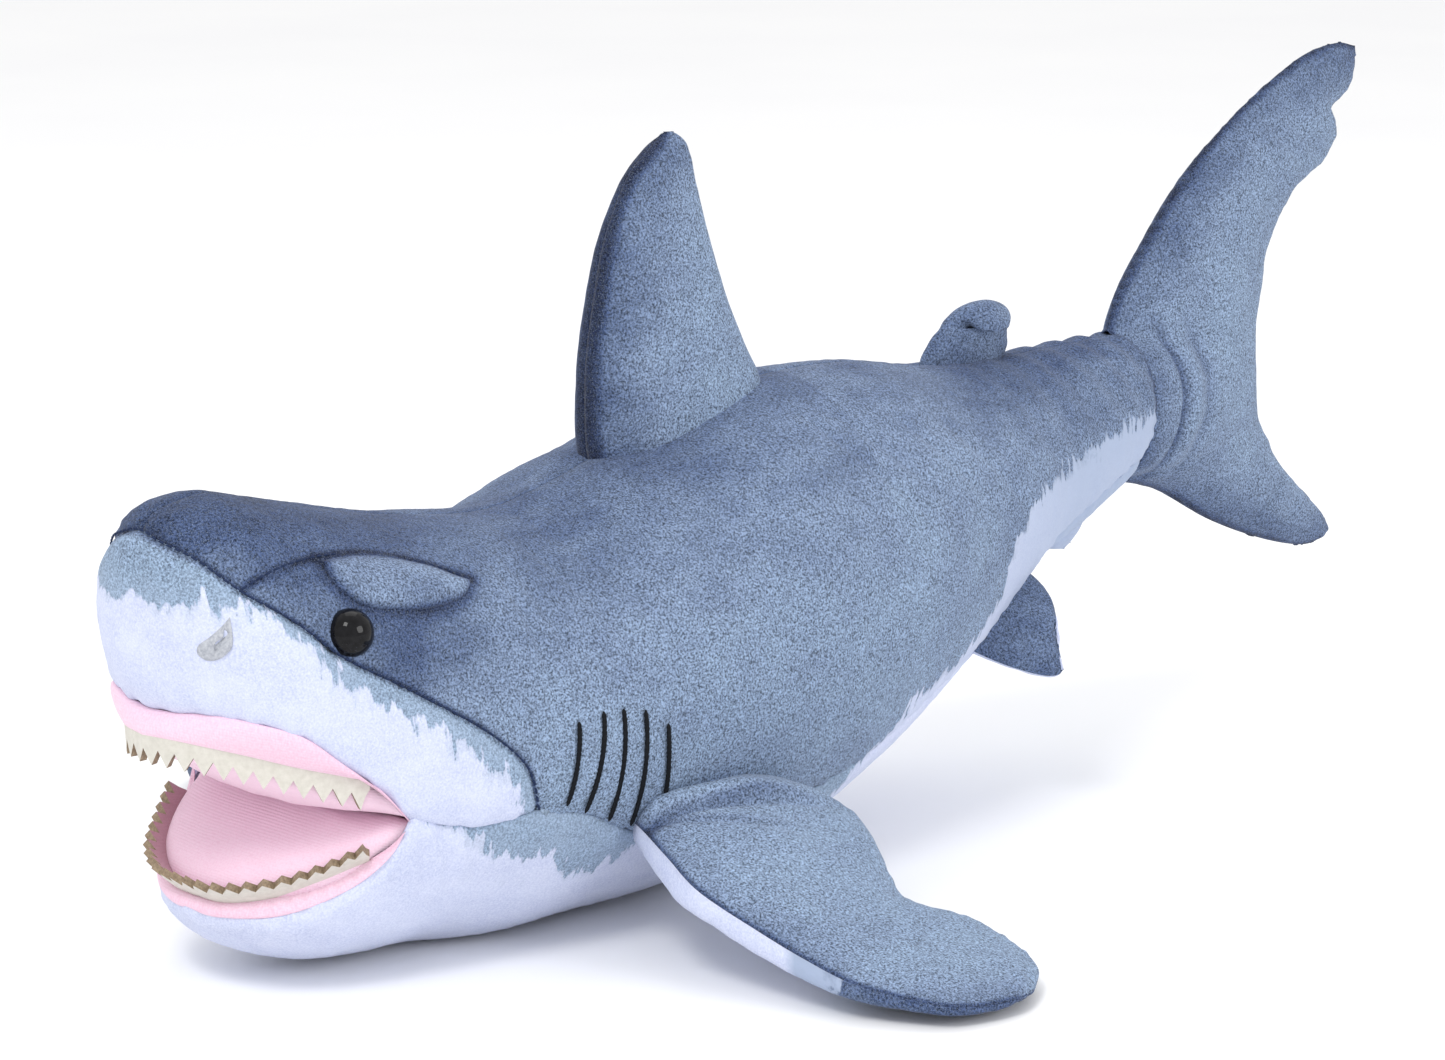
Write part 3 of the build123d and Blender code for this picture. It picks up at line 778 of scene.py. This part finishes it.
def snout_grid():
    """Snout from the head seam down to the lip and the cheek, wrapping the front."""
    shares = np.linspace(0, 1, 150)
    top = along(HEAD_SEAM, shares)
    foot = along(SNOUT_EDGE, shares)
    top = body_point(top[:, 1], body_turn(top))
    heart = np.array([0.0, 100.0, 112.0])
    down = np.linspace(0, 1, 64)[None, :, None]
    first, last = unit(top - heart), unit(foot - heart)
    angle = np.arccos(np.clip(np.sum(first * last, axis=1), -1, 1))[:, None, None]
    angle = np.maximum(angle, 1e-5)
    way = np.sin((1 - down) * angle) * first[:, None] + np.sin(down * angle) * last[:, None]
    left = cast(heart, unit(way))
    grid = np.concatenate([mirror_points(left[:0:-1]), left])
    normal = facing(grid, heart)
    from_seam = edge_distance(grid, 1, False)
    from_lip = edge_distance(grid, 1, True)
    lift = -pinch(from_seam, SEAM_DEPTH) - pinch(from_lip, 1.5, 2.5)
    lift += pucker(grid, np.minimum(from_seam, from_lip), 31, 8.0, 0.4)
    lift += 0.7 * ripple(grid, 55, 33) * ramp(from_seam, 0, 12) * ramp(from_lip, 0, 10)
    lift += 0.08 * ripple(grid, 7, 35)
    return grid + normal * lift[..., None], normal


def underside_grid():
    """Chin, throat and belly in one, from one edge round the bottom to the other."""
    stations = spread(CHIN, TAIL_JOINT, 1.9)
    table = np.array(UNDERSIDE, float)
    keys = np.sqrt(table[:, 0] - CHIN)
    centre, bottom, wide = smooth(keys, table[:, 1:], np.sqrt(stations - CHIN)).T
    high = np.maximum(centre - bottom, 0.02)
    wide = np.maximum(wide, 0.02)
    edge = edge_height(stations)
    start = np.arccos(np.clip((edge - centre) / high, -1, 1))
    start = np.where(stations < 92, math.pi / 2, start)
    down = np.linspace(0, 1, 62)[None, :]
    turn = start[:, None] * (1 - down) + math.pi * down
    x = wide[:, None] * np.sin(turn)
    z = centre[:, None] + high[:, None] * np.cos(turn)
    half = np.stack([x, np.repeat(stations[:, None], down.size, axis=1), z], axis=-1)
    body_centre, body_high, body_wide = body_section(stations)
    rise = np.clip((edge - body_centre) / body_high, -1, 1)
    body_x = body_wide * np.sqrt(1 - rise**2)
    error = np.where(stations > 93, body_x - half[:, 0, 0], 0)
    half[..., 0] += error[:, None] * (1 - down) ** 2
    grid = np.concatenate([half, mirror_points(half[:, -2::-1])], axis=1)
    normal = facing(grid, grid * np.array([0, 1, 0]) + np.array([0, 0, 60]))
    from_edge = np.minimum(edge_distance(grid, 1, False), edge_distance(grid, 1, True))
    from_tail = edge_distance(grid, 0, True)
    seam_depth = np.where(stations > 90, SEAM_DEPTH, 0.5)[:, None]
    lift = -pinch(from_edge, seam_depth) - pinch(from_tail, 3.0, 4.0)
    lift += pucker(grid, from_edge, 41)
    lift += 0.7 * ripple(grid, 60, 43) * ramp(from_edge, 0, 12)
    creases = np.sin((grid[..., 1] - 0.35 * from_edge) / 1.7) * hump(from_edge - 16, 15)
    lift += 0.8 * hump(grid[..., 1] - 104, 17) * ramp(from_edge, 0, 5) * creases
    lift += 0.08 * ripple(grid, 7, 45)
    return lay_on_floor(grid + normal * lift[..., None]), normal


def belly_print(points):
    """Print distance on the underside: white chin, grey smears on the throat, then the flank."""
    flank = print_distance(points, FLANK_PRINT)
    throat = print_distance(points, THROAT_PRINT)
    values = np.where(points[:, 1] < 189, throat, flank)
    return np.where(points[:, 1] < 98, WHITE_ALL_OVER, values)


def side_print(points):
    """Print distance on the sides, which are blue all over ahead of the belly."""
    flank = print_distance(points, FLANK_PRINT)
    return np.where(points[:, 1] < 230, BLUE_ALL_OVER, flank)


def snout_print(points):
    """Print distance on the snout."""
    return print_distance(points, SNOUT_PRINT)


def snout_shade(points):
    """Pale print on the snout, darker towards the head seam, whose dark line is partly painted shade
    in its crease.
    """
    # Seam line, partly painted shade in its crease.
    seam = 0.7 * beside(points, on_body(HEAD_SEAM, -1.5), 1.2)
    tip = 0.45 * ramp(points[:, 2], 140, 162) * ramp(points[:, 1], 60, 35)
    return -0.25 + tip + seam


def belly_shade(points):
    """Pale print on the throat, with painted shade greying the white towards the tail."""
    return -0.25 + 0.9 * ramp(points[:, 1], 330, 440)


left = side_grid()
right = [mirror_points(part) for part in left]
for word, (points, normal) in (("left", left), ("right", right)):
    side = shell(f"{word}_side_plush", points, normal)
    paint(side, side_print, side_shade)
    nodes = (f"{word}_side_panel", f"{word}_eye_washer")
    declare(side, "torso", "blue_plush", *nodes, fill=FULL)

snout = shell("snout_plush", *snout_grid())
paint(snout, snout_print, snout_shade)
declare(snout, "torso", "snout_plush", "snout_panel", fill=FULL)

belly = shell("belly_and_chin_plush", *underside_grid())
paint(belly, belly_print, belly_shade)
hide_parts("belly_panel", "chin_panel", "body_stuffing", "jaw_stuffing")
to_frame((0, 118, 40))
to_frame((0, 92, 40))
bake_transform(belly)


# ------------------------------------------------------------------------- head details
def stitches(name, seam, flip, steps, depth, lift):
    """A row of short stitches along a seam of the head, lifted off a line at a depth."""
    long, gap, radius = 2.4, 3.2, 0.42
    line = along(mirror_points(np.array(seam)) if flip else seam, np.linspace(0, 1, steps))
    points = on_body(line, depth)
    total = lengths(points)[-1]
    count = int(total / gap)
    shares = (np.arange(count) + 0.5) / count
    reach = long / 2 / total
    starts, ends = along(points, shares - reach), along(points, shares + reach)
    away = body_outwards((starts + ends) / 2)
    turns = np.arange(6)[:, None] * math.pi / 3
    every = []
    for first, last, out in zip(starts, ends, away):
        side = unit(np.cross(last - first, out))
        round_about = radius * (side * np.cos(turns) + out * np.sin(turns))
        rings = []
        for share, thick, up in ((0, 0.35, -0.35), (0.2, 1, 0.1), (0.8, 1, 0.1), (1, 0.35, -0.35)):
            middle = first * (1 - share) + last * share + out * (lift + up)
            rings.append(middle + thick * round_about)
        every.append(np.array(rings))
    o = tubes(name, every, navy_thread)
    paint(o)
    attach(o, "torso")


def brow_pad(name, flip):
    """Padded eyelid above the eye."""
    shares = (1 - np.cos(np.linspace(0, math.pi, 64))) / 2
    top, foot = along(BROW_TOP, shares), along(BROW_FOOT, shares)
    down = np.linspace(0, 1, 30)
    flat = top[:, None] * (1 - down[None, :, None]) + foot[:, None] * down[None, :, None]
    swell = np.sin(math.pi * shares)[:, None] ** 0.35 * np.sin(math.pi * down**1.5)[None, :] ** 0.4
    grid = on_body(flat, (5.0 * swell - 0.8 + 0.15 * ripple(flat, 14, 51)).ravel())
    normal = facing(grid, np.array([0, 95, 100]))
    if flip:
        grid, normal = mirror_points(grid), mirror_points(normal)
    return shell(name, grid, normal)


def brow_shade(points):
    """Darker round the edge of the brow pad: along the seam at its top, and painted shadow along its
    lower edge.
    """
    return 0.56 + 0.6 * beside(points, BROW_TOP, 3.0) + 0.6 * beside(points, BROW_FOOT, 2.6)


def nostril_pad(name, flip):
    """Felt teardrop with a puckered slit down its middle."""
    turn = np.linspace(0, 2 * math.pi, 41)[:-1]
    rings = []
    for share in np.linspace(0.02, 1, 14):
        v = 8.0 * share * np.cos(turn)
        narrow = 1 - 0.90 * ramp(v, -3, 8)
        u = 4.4 * share * np.sin(turn) * narrow
        lean = 0.40 * (v + 3)
        spot = np.stack([33.1 + 0.6 * (u + lean), 34.4 + 0.8 * (u + lean), 129.5 + v], axis=1)
        slit = 2.2 * hump(u - 0.6 * np.sin(v), 0.8) * hump(v + 0.5, 5, 4)
        dome = 1.7 * (1 - share**4) + 0.4 * np.sin(v * 2.1) * hump(u, 2.5) * (1 - share)
        rings.append(on_body(spot, dome - slit - 0.2))
    rings.append(on_body(rings[-1], -1.2))
    rings = np.array(rings)
    return tubes(name, [mirror_points(rings) if flip else rings], felt)


def eye_button(name, flip):
    """Domed black button with a rolled rim."""
    steps = np.arange(len(EYE_PROFILE))
    fine = np.linspace(0, len(EYE_PROFILE) - 1, 46)
    radii, heights = smooth(steps, EYE_PROFILE, fine).T
    axis = unit(EYE_AXIS)
    side = unit(np.cross(axis, [0, 0, 1.0]))
    up = np.cross(side, axis)
    turn = np.linspace(0, 2 * math.pi, 65)[:-1, None]
    across = np.cos(turn) * side + np.sin(turn) * up
    middles = np.array(EYE) + axis * (heights[:, None] - 0.6)
    rings = middles[:, None] + radii[:, None, None] * across
    return tubes(name, [mirror_points(rings) if flip else rings], eye_black)


def gill_lines(name, flip):
    """Five satin-stitched lines on the cheek."""
    share = np.linspace(0, 1, 60)
    turns = np.arange(8)[:, None] * math.pi / 4
    every = []
    for top, foot in GILLS:
        station = top[0] + (foot[0] - top[0]) * share**1.6
        height = top[1] + (foot[1] - top[1]) * share
        line = on_body(np.stack([np.full(60, 72.0), station, height], axis=1), 0.8)
        out = body_outwards(line)
        side = np.cross(unit(np.gradient(line, axis=0)), out)
        thick = 1.0 + 0.10 * np.sin(share * 260) + 0.05 * ripple(line, 9, 61)
        thick = thick * np.sqrt(np.clip(1 - (2 * share - 1) ** 16, 0.05, 1))
        across = np.cos(turns) * side[:, None] + 0.6 * np.sin(turns) * out[:, None]
        rings = line[:, None] + thick[:, None, None] * across
        every.append(mirror_points(rings) if flip else rings)
    return tubes(name, every, black_thread)


for flip, word in ((False, "left"), (True, "right")):
    brow = brow_pad(f"{word}_brow_pad", flip)
    paint(brow, BLUE_ALL_OVER, brow_shade)
    declare(brow, "torso", "blue_plush", f"{word}_brow", fill=FIRM)
    nostril = nostril_pad(f"{word}_nostril_felt", flip)
    paint(nostril)
    declare(nostril, "torso", "nostril_felt", f"{word}_nostril")
    eye = eye_button(f"{word}_eye_button", flip)
    paint(eye)
    declare(eye, "torso", "eye_plastic", f"{word}_eye")
    gills = gill_lines(f"{word}_gill_thread", flip)
    paint(gills)
    declare(gills, "torso", "stitch_thread", f"{word}_gill_stitches")
    stitches(f"{word}_head_seam_stitches", HEAD_SEAM, flip, 60, -1.0, 0.5)
    stitches(f"{word}_brow_seam_stitches", BROW_SEAM, flip, 40, 0.0, 0.1)


# ----------------------------------------------------------------------------- the mouth
def both_sides(points, shares):
    """Points round the whole mouth from those of its left half, right side first."""
    half = along(points, shares)
    return np.concatenate([mirror_points(half[:0:-1]), half])


def lip_roll(name, edge, inner, bulge, taper):
    """Stuffed roll of knit between a skin edge and a strip of teeth."""
    shares = np.linspace(0, 1, 90)
    outside = both_sides(edge, shares)
    inside = both_sides(inner, shares)
    from_middle = np.abs(np.linspace(-1, 1, len(outside)))
    turn = np.linspace(0, 2 * math.pi, 25)[:-1, None]
    rings = []
    for first, last, share in zip(outside, inside, from_middle):
        middle = (first + last) / 2
        span = (last - first) / 2
        out = middle - MOUTH_HEART
        out = out - span * (out @ span) / (span @ span)
        out = unit(out) * bulge * (1 - taper * share**3)
        rings.append(middle + np.cos(turn) * span * 1.12 + (np.sin(turn) - 0.35) * out)
    return tubes(name, [np.array(rings)], knit_pink)


def tooth_strip(name, line, depth, up, flare):
    """Strip of coated cloth with a zigzag free edge; its cut edge shows the backing."""
    steps = 4
    count = TEETH * steps
    shares = np.abs(np.linspace(-1, 1, count + 1))
    base = along(line, shares)
    base[: count // 2] = mirror_points(base[: count // 2])
    level = np.array([1, 1, 0])
    side = unit(np.cross(np.gradient(base, axis=0) * level, [0, 0, 1.0]))
    if np.sum(side * (base - MOUTH_HEART) * level) < 0:
        side = -side
    phase = (np.arange(count + 1) % steps) / steps
    tooth = 1 - np.abs(phase * 2 - 1)
    high = TOOTH_STRIP - depth * (1 - tooth)
    high = high * np.clip((1 - shares) / 0.03, 0.5, 1)
    rise = np.array([0, 0, 1.0 if up else -1.0])
    angle = math.radians(flare)
    reach = rise * math.cos(angle) + side * math.sin(angle)
    depthwise = side * math.cos(angle) - rise * math.sin(angle)
    free = base + reach * high[:, None]
    inwards = depthwise * TOOTH_CLOTH
    points = np.concatenate([base, free, base - inwards, free - inwards])
    n = count + 1
    k = np.arange(count)
    outer = np.stack([k, k + 1, k + 1 + n, k + n], -1)
    inner = outer[:, ::-1] + 2 * n
    cut = np.stack([k + n, k + 1 + n, k + 1 + 3 * n, k + 3 * n], -1)
    root = np.stack([k, k + 2 * n, k + 1 + 2 * n, k + 1], -1)
    ends = [[0, n, 3 * n, 2 * n], [count, count + 2 * n, count + 3 * n, count + n]]
    faces = np.concatenate([outer, inner, cut, root, ends])
    # The inner faces take the mauve knit, dusty pink painted darker as shade inside the mouth.
    indices = [0] * count + [2] * count + [1] * count + [1] * count + [1, 1]
    o = build(name, points, faces, [tooth_face, tooth_edge, mauve], indices)
    o.data.polygons.foreach_set("use_smooth", np.zeros(len(o.data.polygons), dtype=bool))
    return o


def mouth_pad(name, half_width, reach, lift, back, sign, swell, full_at):
    """Half-oval pad that fills the roof or the floor of the mouth."""
    turn = np.linspace(-math.pi / 2, math.pi / 2, 81)
    share = np.linspace(0, 1, 44)
    t, r = np.meshgrid(turn, share, indexing="ij")
    ahead = reach * r * np.cos(t)
    flare = 5 * ramp(ahead, 12, 0)
    x = (half_width + flare) * r * np.sin(t)
    rim = np.sqrt(np.clip(1 - r**2.6, 0, 1))
    fill = ramp(ahead, 0, full_at) ** 0.8
    z = back + sign * (lift * ahead - swell * rim * fill)
    face = np.stack([x, MOUTH_CORNER - ahead, z], axis=-1)
    behind = face + np.array([0, 0, sign * 9.0]) * (0.25 + 0.75 * r[..., None])
    face = face + np.array([0, 0, 1.0]) * (0.25 * ripple(face, 22, 71))[..., None]
    return two_faced(name, face, behind, knit_pink)


def upper_lip_shade(points):
    """A little deeper pink towards the mouth corners."""
    return 0.02 + 0.16 * ramp(points[:, 1], 40, 95)


def throat_shade(points):
    """Painted shade: deeper pink in the crease where the roof and the floor of the mouth meet."""
    return 0.4 * hump(points[:, 1] - 98, 3)


def palate_shade(points):
    """Pale roof of the mouth."""
    return throat_shade(points) - 0.16


def tongue_shade(points):
    """Pale tongue, deeper pink low behind the teeth."""
    return throat_shade(points) - 0.08 + 0.6 * ramp(points[:, 2], 38, 32)


def mouth_piece(piece, body, node, shade):
    """Shade and declare one of the stuffed pieces of the mouth."""
    paint(piece, 0.0, shade)
    declare(piece, body, "mouth_knit", node, fill=FIRM)
    return piece


upper_lip = lip_roll("upper_lip_roll", LIP_TOP, UPPER_TEETH_LINE + [(57, 89, 67)], 2.9, 0.75)
lower_lip = lip_roll("lower_lip_roll", LIP_BOTTOM, LOWER_TEETH_LINE + [(55.5, 89, 54)], 2.0, 0.8)
upper_teeth = tooth_strip("upper_teeth_strip", UPPER_TEETH_LINE, 5.6, False, -3.0)
lower_teeth = tooth_strip("lower_teeth_strip", LOWER_TEETH_LINE, 4.0, True, 48.0)
palate = mouth_pad("palate_pad", 53.5, 62, 0.50, PALATE_BACK[2], 1, 11.0, 26)
tongue = mouth_pad("tongue_pad", 52, 49, 0.50, TONGUE_BACK[2], -1, 8.5, 14)
mouth_piece(upper_lip, "torso", "upper_lip", upper_lip_shade)
mouth_piece(palate, "torso", "palate", palate_shade)
mouth_piece(lower_lip, "jaw", "lower_lip", 0.08)
mouth_piece(tongue, "jaw", "tongue", tongue_shade)
anchor = tuple(to_frame(PALATE_BACK))
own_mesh(palate)
anchor = tuple(to_frame(TONGUE_BACK))
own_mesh(tongue)
for piece, body, node in (
    (upper_teeth, "torso", "upper_teeth"),
    (lower_teeth, "jaw", "lower_teeth"),
):
    paint(piece)
    declare(piece, body, "tooth_cloth", node)


# ------------------------------------------------------------------------------ the fins
def fin_surface(sections, rows, columns, blunt):
    """Middle surface of a fin, its half thickness and the share across it."""
    front = [section[0] for section in sections]
    back = [section[1] for section in sections]
    half = [section[2] for section in sections]
    keys = np.linspace(0, 1, len(sections))
    at = np.linspace(0, 1, rows)
    front = smooth(keys, front, at)
    back = smooth(keys, back, at)
    half = np.maximum(smooth(keys, half, at), 0)
    across = (1 - np.cos(np.linspace(0, math.pi, columns))) / 2
    c = across[None, :, None]
    middle = front[:, None] * (1 - c) + back[:, None] * c
    thick = half[:, None] * np.power(np.clip(4 * across * (1 - across), 0, 1), blunt)[None, :]
    return middle, thick, across


def fin_panel(
    name, sections, side, seed, neck=None, rows=150, columns=70, creases=None, curl=None,
    flip=False, puff=1.0, blunt=0.6,
):
    """One of a fin's two panels, puffed out from the fin's middle surface."""
    middle, thick, across = fin_surface(sections, rows, columns, blunt)
    if neck is not None:
        root = neck(middle[:, 0, 2])[:, None] * np.power(1 - across, 0.8)[None, :]
        root = root * (1 - 0.16 * np.exp(-np.linalg.norm(middle - middle[:, :1], axis=-1) / 3.0))
        thick = np.sqrt(thick**2 + root**2)
    normal = unit(np.cross(np.gradient(middle, axis=0), np.gradient(middle, axis=1)))
    if np.sum(normal @ np.asarray(side, float)) < 0:
        normal = -normal
    thick = thick * puff
    full = ramp(thick, 0, thick.max() / 2)
    bumps = 0.55 * ripple(middle + 31 * seed, 42, seed) + 0.12 * ripple(middle, 9, seed + 1)
    gathers = 0.35 * ripple(middle, 6.5, seed + 2) * hump(thick, 3.5) * (thick > 0.4)
    lift = thick + bumps * full + gathers
    if creases is not None:
        lift = lift - creases(middle) * full
    grid = middle + normal * np.maximum(lift, 0)[..., None]
    if curl is not None:
        grid = curl(grid)
    outward = facing(grid, middle if curl is None else curl(middle))
    grid[..., 2] = np.maximum(grid[..., 2], 0.6)
    if flip:
        grid, outward = mirror_points(grid), mirror_points(outward)
    return shell(name, grid, outward, FIN_CLOTH)


def finish_fin(piece, body, bend, shade, *nodes, slot="blue_plush", printed=BLUE_ALL_OVER):
    paint(piece, printed, shade)
    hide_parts(*nodes)
    to_frame(bend[0])
    to_frame(bend[1])
    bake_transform(piece)


def front_dark(sections, base, strong, reach):
    """Darkness that fades back from a fin's front seam."""
    line = np.array([section[0] for section in sections], float)

    def shade(points):
        flat = points * np.array([0, 1, 1]) if np.all(line[:, 0] == 0) else points
        return base + strong * beside(flat, line, reach) + 0.7 * beside(flat, line, 1.5)

    return shade


def behind_tail_seam(station, height):
    """How far back a point is from the bowed line along the tail fin's seam."""
    return station - 524 - 10 * np.sin((height - 108) / 70 * math.pi)


def caudal_creases(middle):
    """Folds across both lobes of the tail fin and behind its seam."""
    station, height = middle[..., 1], middle[..., 2]
    upper = (height - 238) * 0.75 + (station - 612) * 0.66
    folds = (1.6 * hump(upper - 2, 2.4) + hump(upper - 12, 3)) * (height > 215)
    lower = (station - 628) * 0.6 - (height - 92) * 0.8
    tip = (1.8 * hump(lower + 6, 1.6) + hump(lower - 8, 2.2)) * (height < 112) * (station > 590)
    ring = behind_tail_seam(station, height)
    neck = 2.4 * hump(ring - 3, 2.2) - 1.4 * hump(ring - 10, 4.0) + 1.5 * hump(ring - 19, 3.5)
    return folds + tip + neck * hump(height - 142, 30, 4)


def caudal_shade(points):
    """Darker along the front seam, with painted shade in the folds behind the tail joint."""
    station, height = points[:, 1], points[:, 2]
    ring = behind_tail_seam(station, height)
    # Painted shade in the creases of the folds.
    folds = 0.5 * hump(ring - 3, 2.4) + 0.25 * hump(ring - 19, 3.5)
    return front_dark(CAUDAL, 0.40, 0.42, 18)(points) + folds * hump(height - 142, 30, 4)


def neck_oval(height):
    """Half width of the tail joint at a height."""
    return 22 * np.sqrt(np.clip(1 - ((height - 139.5) / 30.5) ** 2, 0, 1))


def second_curl(grid):
    """Roll the top of the small back fin over to the left."""
    fold, radius = 183, 3.6
    curled = grid.copy()
    width, height = grid[..., 0], grid[..., 2]
    bent = height > fold
    turn = np.clip((height - fold) / radius, 0, 3.3)
    curled[..., 0] = np.where(bent, radius - (radius - width) * np.cos(turn), width)
    curled[..., 2] = np.where(bent, fold + (radius - width) * np.sin(turn), height)
    return curled


dorsal_shade = front_dark(DORSAL, 0.36, 0.45, 20)
dorsal_bend = ((0, 273, 166), (0, 270, 186))
second_dorsal_bend = ((0, 424, 170), (0, 424, 180))
anal_bend = ((0, 484, 100), (0, 488, 90))
caudal_bend = ((0, 520, 140), (0, 556, 140))
white = {"slot": "white_plush", "printed": WHITE_ALL_OVER}
for word, side, seed, stuffing in (
    ("left", (1, 0, 0), 101, ("dorsal_fin_stuffing", "caudal_fin_stuffing")),
    ("right", (-1, 0, 0), 111, ()),
):
    body = "dorsal_fin"
    fin = fin_panel(f"{body}_{word}_plush", DORSAL, side, seed, blunt=0.38)
    finish_fin(fin, body, dorsal_bend, dorsal_shade, f"{body}_{word}_panel", *stuffing[:1])
    body = "second_dorsal_fin"
    fin = fin_panel(
        f"{body}_{word}_plush", SECOND_DORSAL, side, seed + 20, rows=110, columns=50,
        curl=second_curl,
    )
    finish_fin(fin, body, second_dorsal_bend, 0.78, f"{body}_{word}_panel")
    body = "anal_fin"
    fin = fin_panel(f"{body}_{word}_plush", ANAL, side, seed + 40, rows=60, columns=40)
    # Painted shade: shade 0.6 greys the white anal fin, which lies in shade under the tail.
    finish_fin(fin, body, anal_bend, 0.6, f"{body}_{word}_panel", **white)
    body = "caudal_fin"
    fin = fin_panel(
        f"{body}_{word}_plush", CAUDAL, side, seed + 60, neck=neck_oval,
        rows=230, columns=84, creases=caudal_creases,
    )
    finish_fin(fin, body, caudal_bend, caudal_shade, f"{body}_{word}_panel", *stuffing[1:])


def pectoral_folds(points):
    """Depth of the folds where the fin meets the flank, from its front corner back."""
    x, station = np.abs(points[..., 0]), points[..., 1]
    back = np.clip(station - 183, 0, 60)
    fade = ramp(station, 262, 222)
    first = x - 81 - 0.26 * back
    second = x - 84 - 0.72 * back
    fold = 3.2 * hump(first, 2.4) - 3.6 * hump(first + 7, 5)
    return fold * fade + 1.8 * hump(second, 2.0) * ramp(station, 226, 201)


def pectoral_shade(points):
    """Darker along the front seam, with painted shade down in the folds at the root."""
    return front_dark(PECTORAL, 0.26, 0.30, 10)(points) + 0.16 * np.maximum(pectoral_folds(points), 0)


def pectoral_under_shade(points):
    """Clean white under the fin and navy at its tip."""
    return 0.1 + 0.85 * ramp(np.abs(points[:, 0]), 150, 160)


def pectoral_under_print(points):
    """White under the fin with a dark tip."""
    return np.abs(points[:, 0]) - 168 + 0.25 * (points[:, 1] - 200)


for flip, word in ((False, "left"), (True, "right")):
    side = -1 if flip else 1
    body = f"{word}_pectoral_fin"
    bend = ((side * 76, 215, 44), (side * 100, 215, 36))
    top = fin_panel(
        f"{body}_top_plush", PECTORAL, (0, 0, 1), 201, creases=pectoral_folds, flip=flip, puff=0.8,
    )
    finish_fin(top, body, bend, pectoral_shade, f"{body}_top_panel", f"{body}_stuffing")
    under = fin_panel(
        f"{body}_bottom_plush", PECTORAL, (0, 0, -1), 211, flip=flip, puff=1.35, blunt=0.16,
    )
    finish_fin(
        under, body, bend, pectoral_under_shade, f"{body}_bottom_panel",
        slot="white_plush", printed=pectoral_under_print,
    )
    body = f"{word}_pelvic_fin"
    bend = ((side * 42, 402, 74), (side * 56, 408, 66))
    size = {"rows": 90, "columns": 50, "flip": flip}
    top = fin_panel(f"{body}_top_plush", PELVIC, (0.5, -0.4, 0.8), 221, **size)
    finish_fin(top, body, bend, 0.85, f"{body}_top_panel")
    size = {**size, "puff": 1.1, "blunt": 0.35}
    under = fin_panel(f"{body}_bottom_plush", PELVIC, (-0.5, 0.4, -0.8), 231, **size)
    finish_fin(under, body, bend, 0.3, f"{body}_bottom_panel", **white)


# ------------------------------------------------------------- floor, light and camera
def floor():
    """Plain pale floor, far wider than the view."""
    mesh = bpy.data.meshes.new("floor")
    reach = 14.0
    corners = [(-reach, -reach, 0), (reach, -reach, 0), (reach, reach, 0), (-reach, reach, 0)]
    mesh.from_pydata(corners, [], [(0, 1, 2, 3)])
    s = Shader("pale_floor")
    place = s.node("ShaderNodeTexCoord").outputs["Object"]
    tint = s.span(s.noise(place, 3.0), 0.3, 0.7)
    pale = s.mix(tint, (0.93, 0.93, 0.94, 1), (0.95, 0.95, 0.955, 1))
    mesh.materials.append(s.finish(pale, roughness=0.9))
    o = bpy.data.objects.new("floor", mesh)
    bpy.context.scene.collection.objects.link(o)


def look(name, data, place, way):
    """Put a lamp or the camera at a place in metres, looking along a direction."""
    o = bpy.data.objects.new(name, data)
    o.location = place
    o.rotation_mode = "QUATERNION"
    o.rotation_quaternion = way.to_track_quat("-Z", "Y")
    bpy.context.scene.collection.objects.link(o)
    return o


def area_light(name, place, size, power):
    """Square lamp turned towards the middle of the shark."""
    data = bpy.data.lights.new(name, "AREA")
    data.size = size
    data.energy = power
    look(name, data, place, Vector((0.0, 0.0, 0.12)) - Vector(place))


def studio():
    """Even white surroundings and three soft lamps."""
    world = bpy.data.worlds.new("studio")
    bpy.context.scene.world = world
    world.use_nodes = True
    background = world.node_tree.nodes["Background"]
    background.inputs[0].default_value = (1.0, 1.0, 1.0, 1)
    background.inputs[1].default_value = 0.98
    area_light("key", (0.5, -1.3, 1.7), 0.6, 13.5)
    area_light("fill", (1.9, 0.3, 0.9), 0.6, 7.0)
    area_light("top", (-0.6, 0.5, 1.9), 1.2, 5.0)


def camera():
    """Camera from the left of the front, a little above, with a long lens."""
    azimuth, elevation, distance = math.radians(46), math.radians(12.4), 1.460
    target = Vector((0.073, -0.1155, 0.1435))
    back = Vector((
        math.sin(azimuth) * math.cos(elevation),
        -math.cos(azimuth) * math.cos(elevation),
        math.sin(elevation),
    ))
    data = bpy.data.cameras.new("photo_camera")
    data.sensor_width = 36.0
    data.lens = 104.6
    bpy.context.scene.camera = look("photo_camera", data, target + back * distance, -back)


floor()
studio()
camera()
bpy.context.scene.view_settings.view_transform = "Standard"
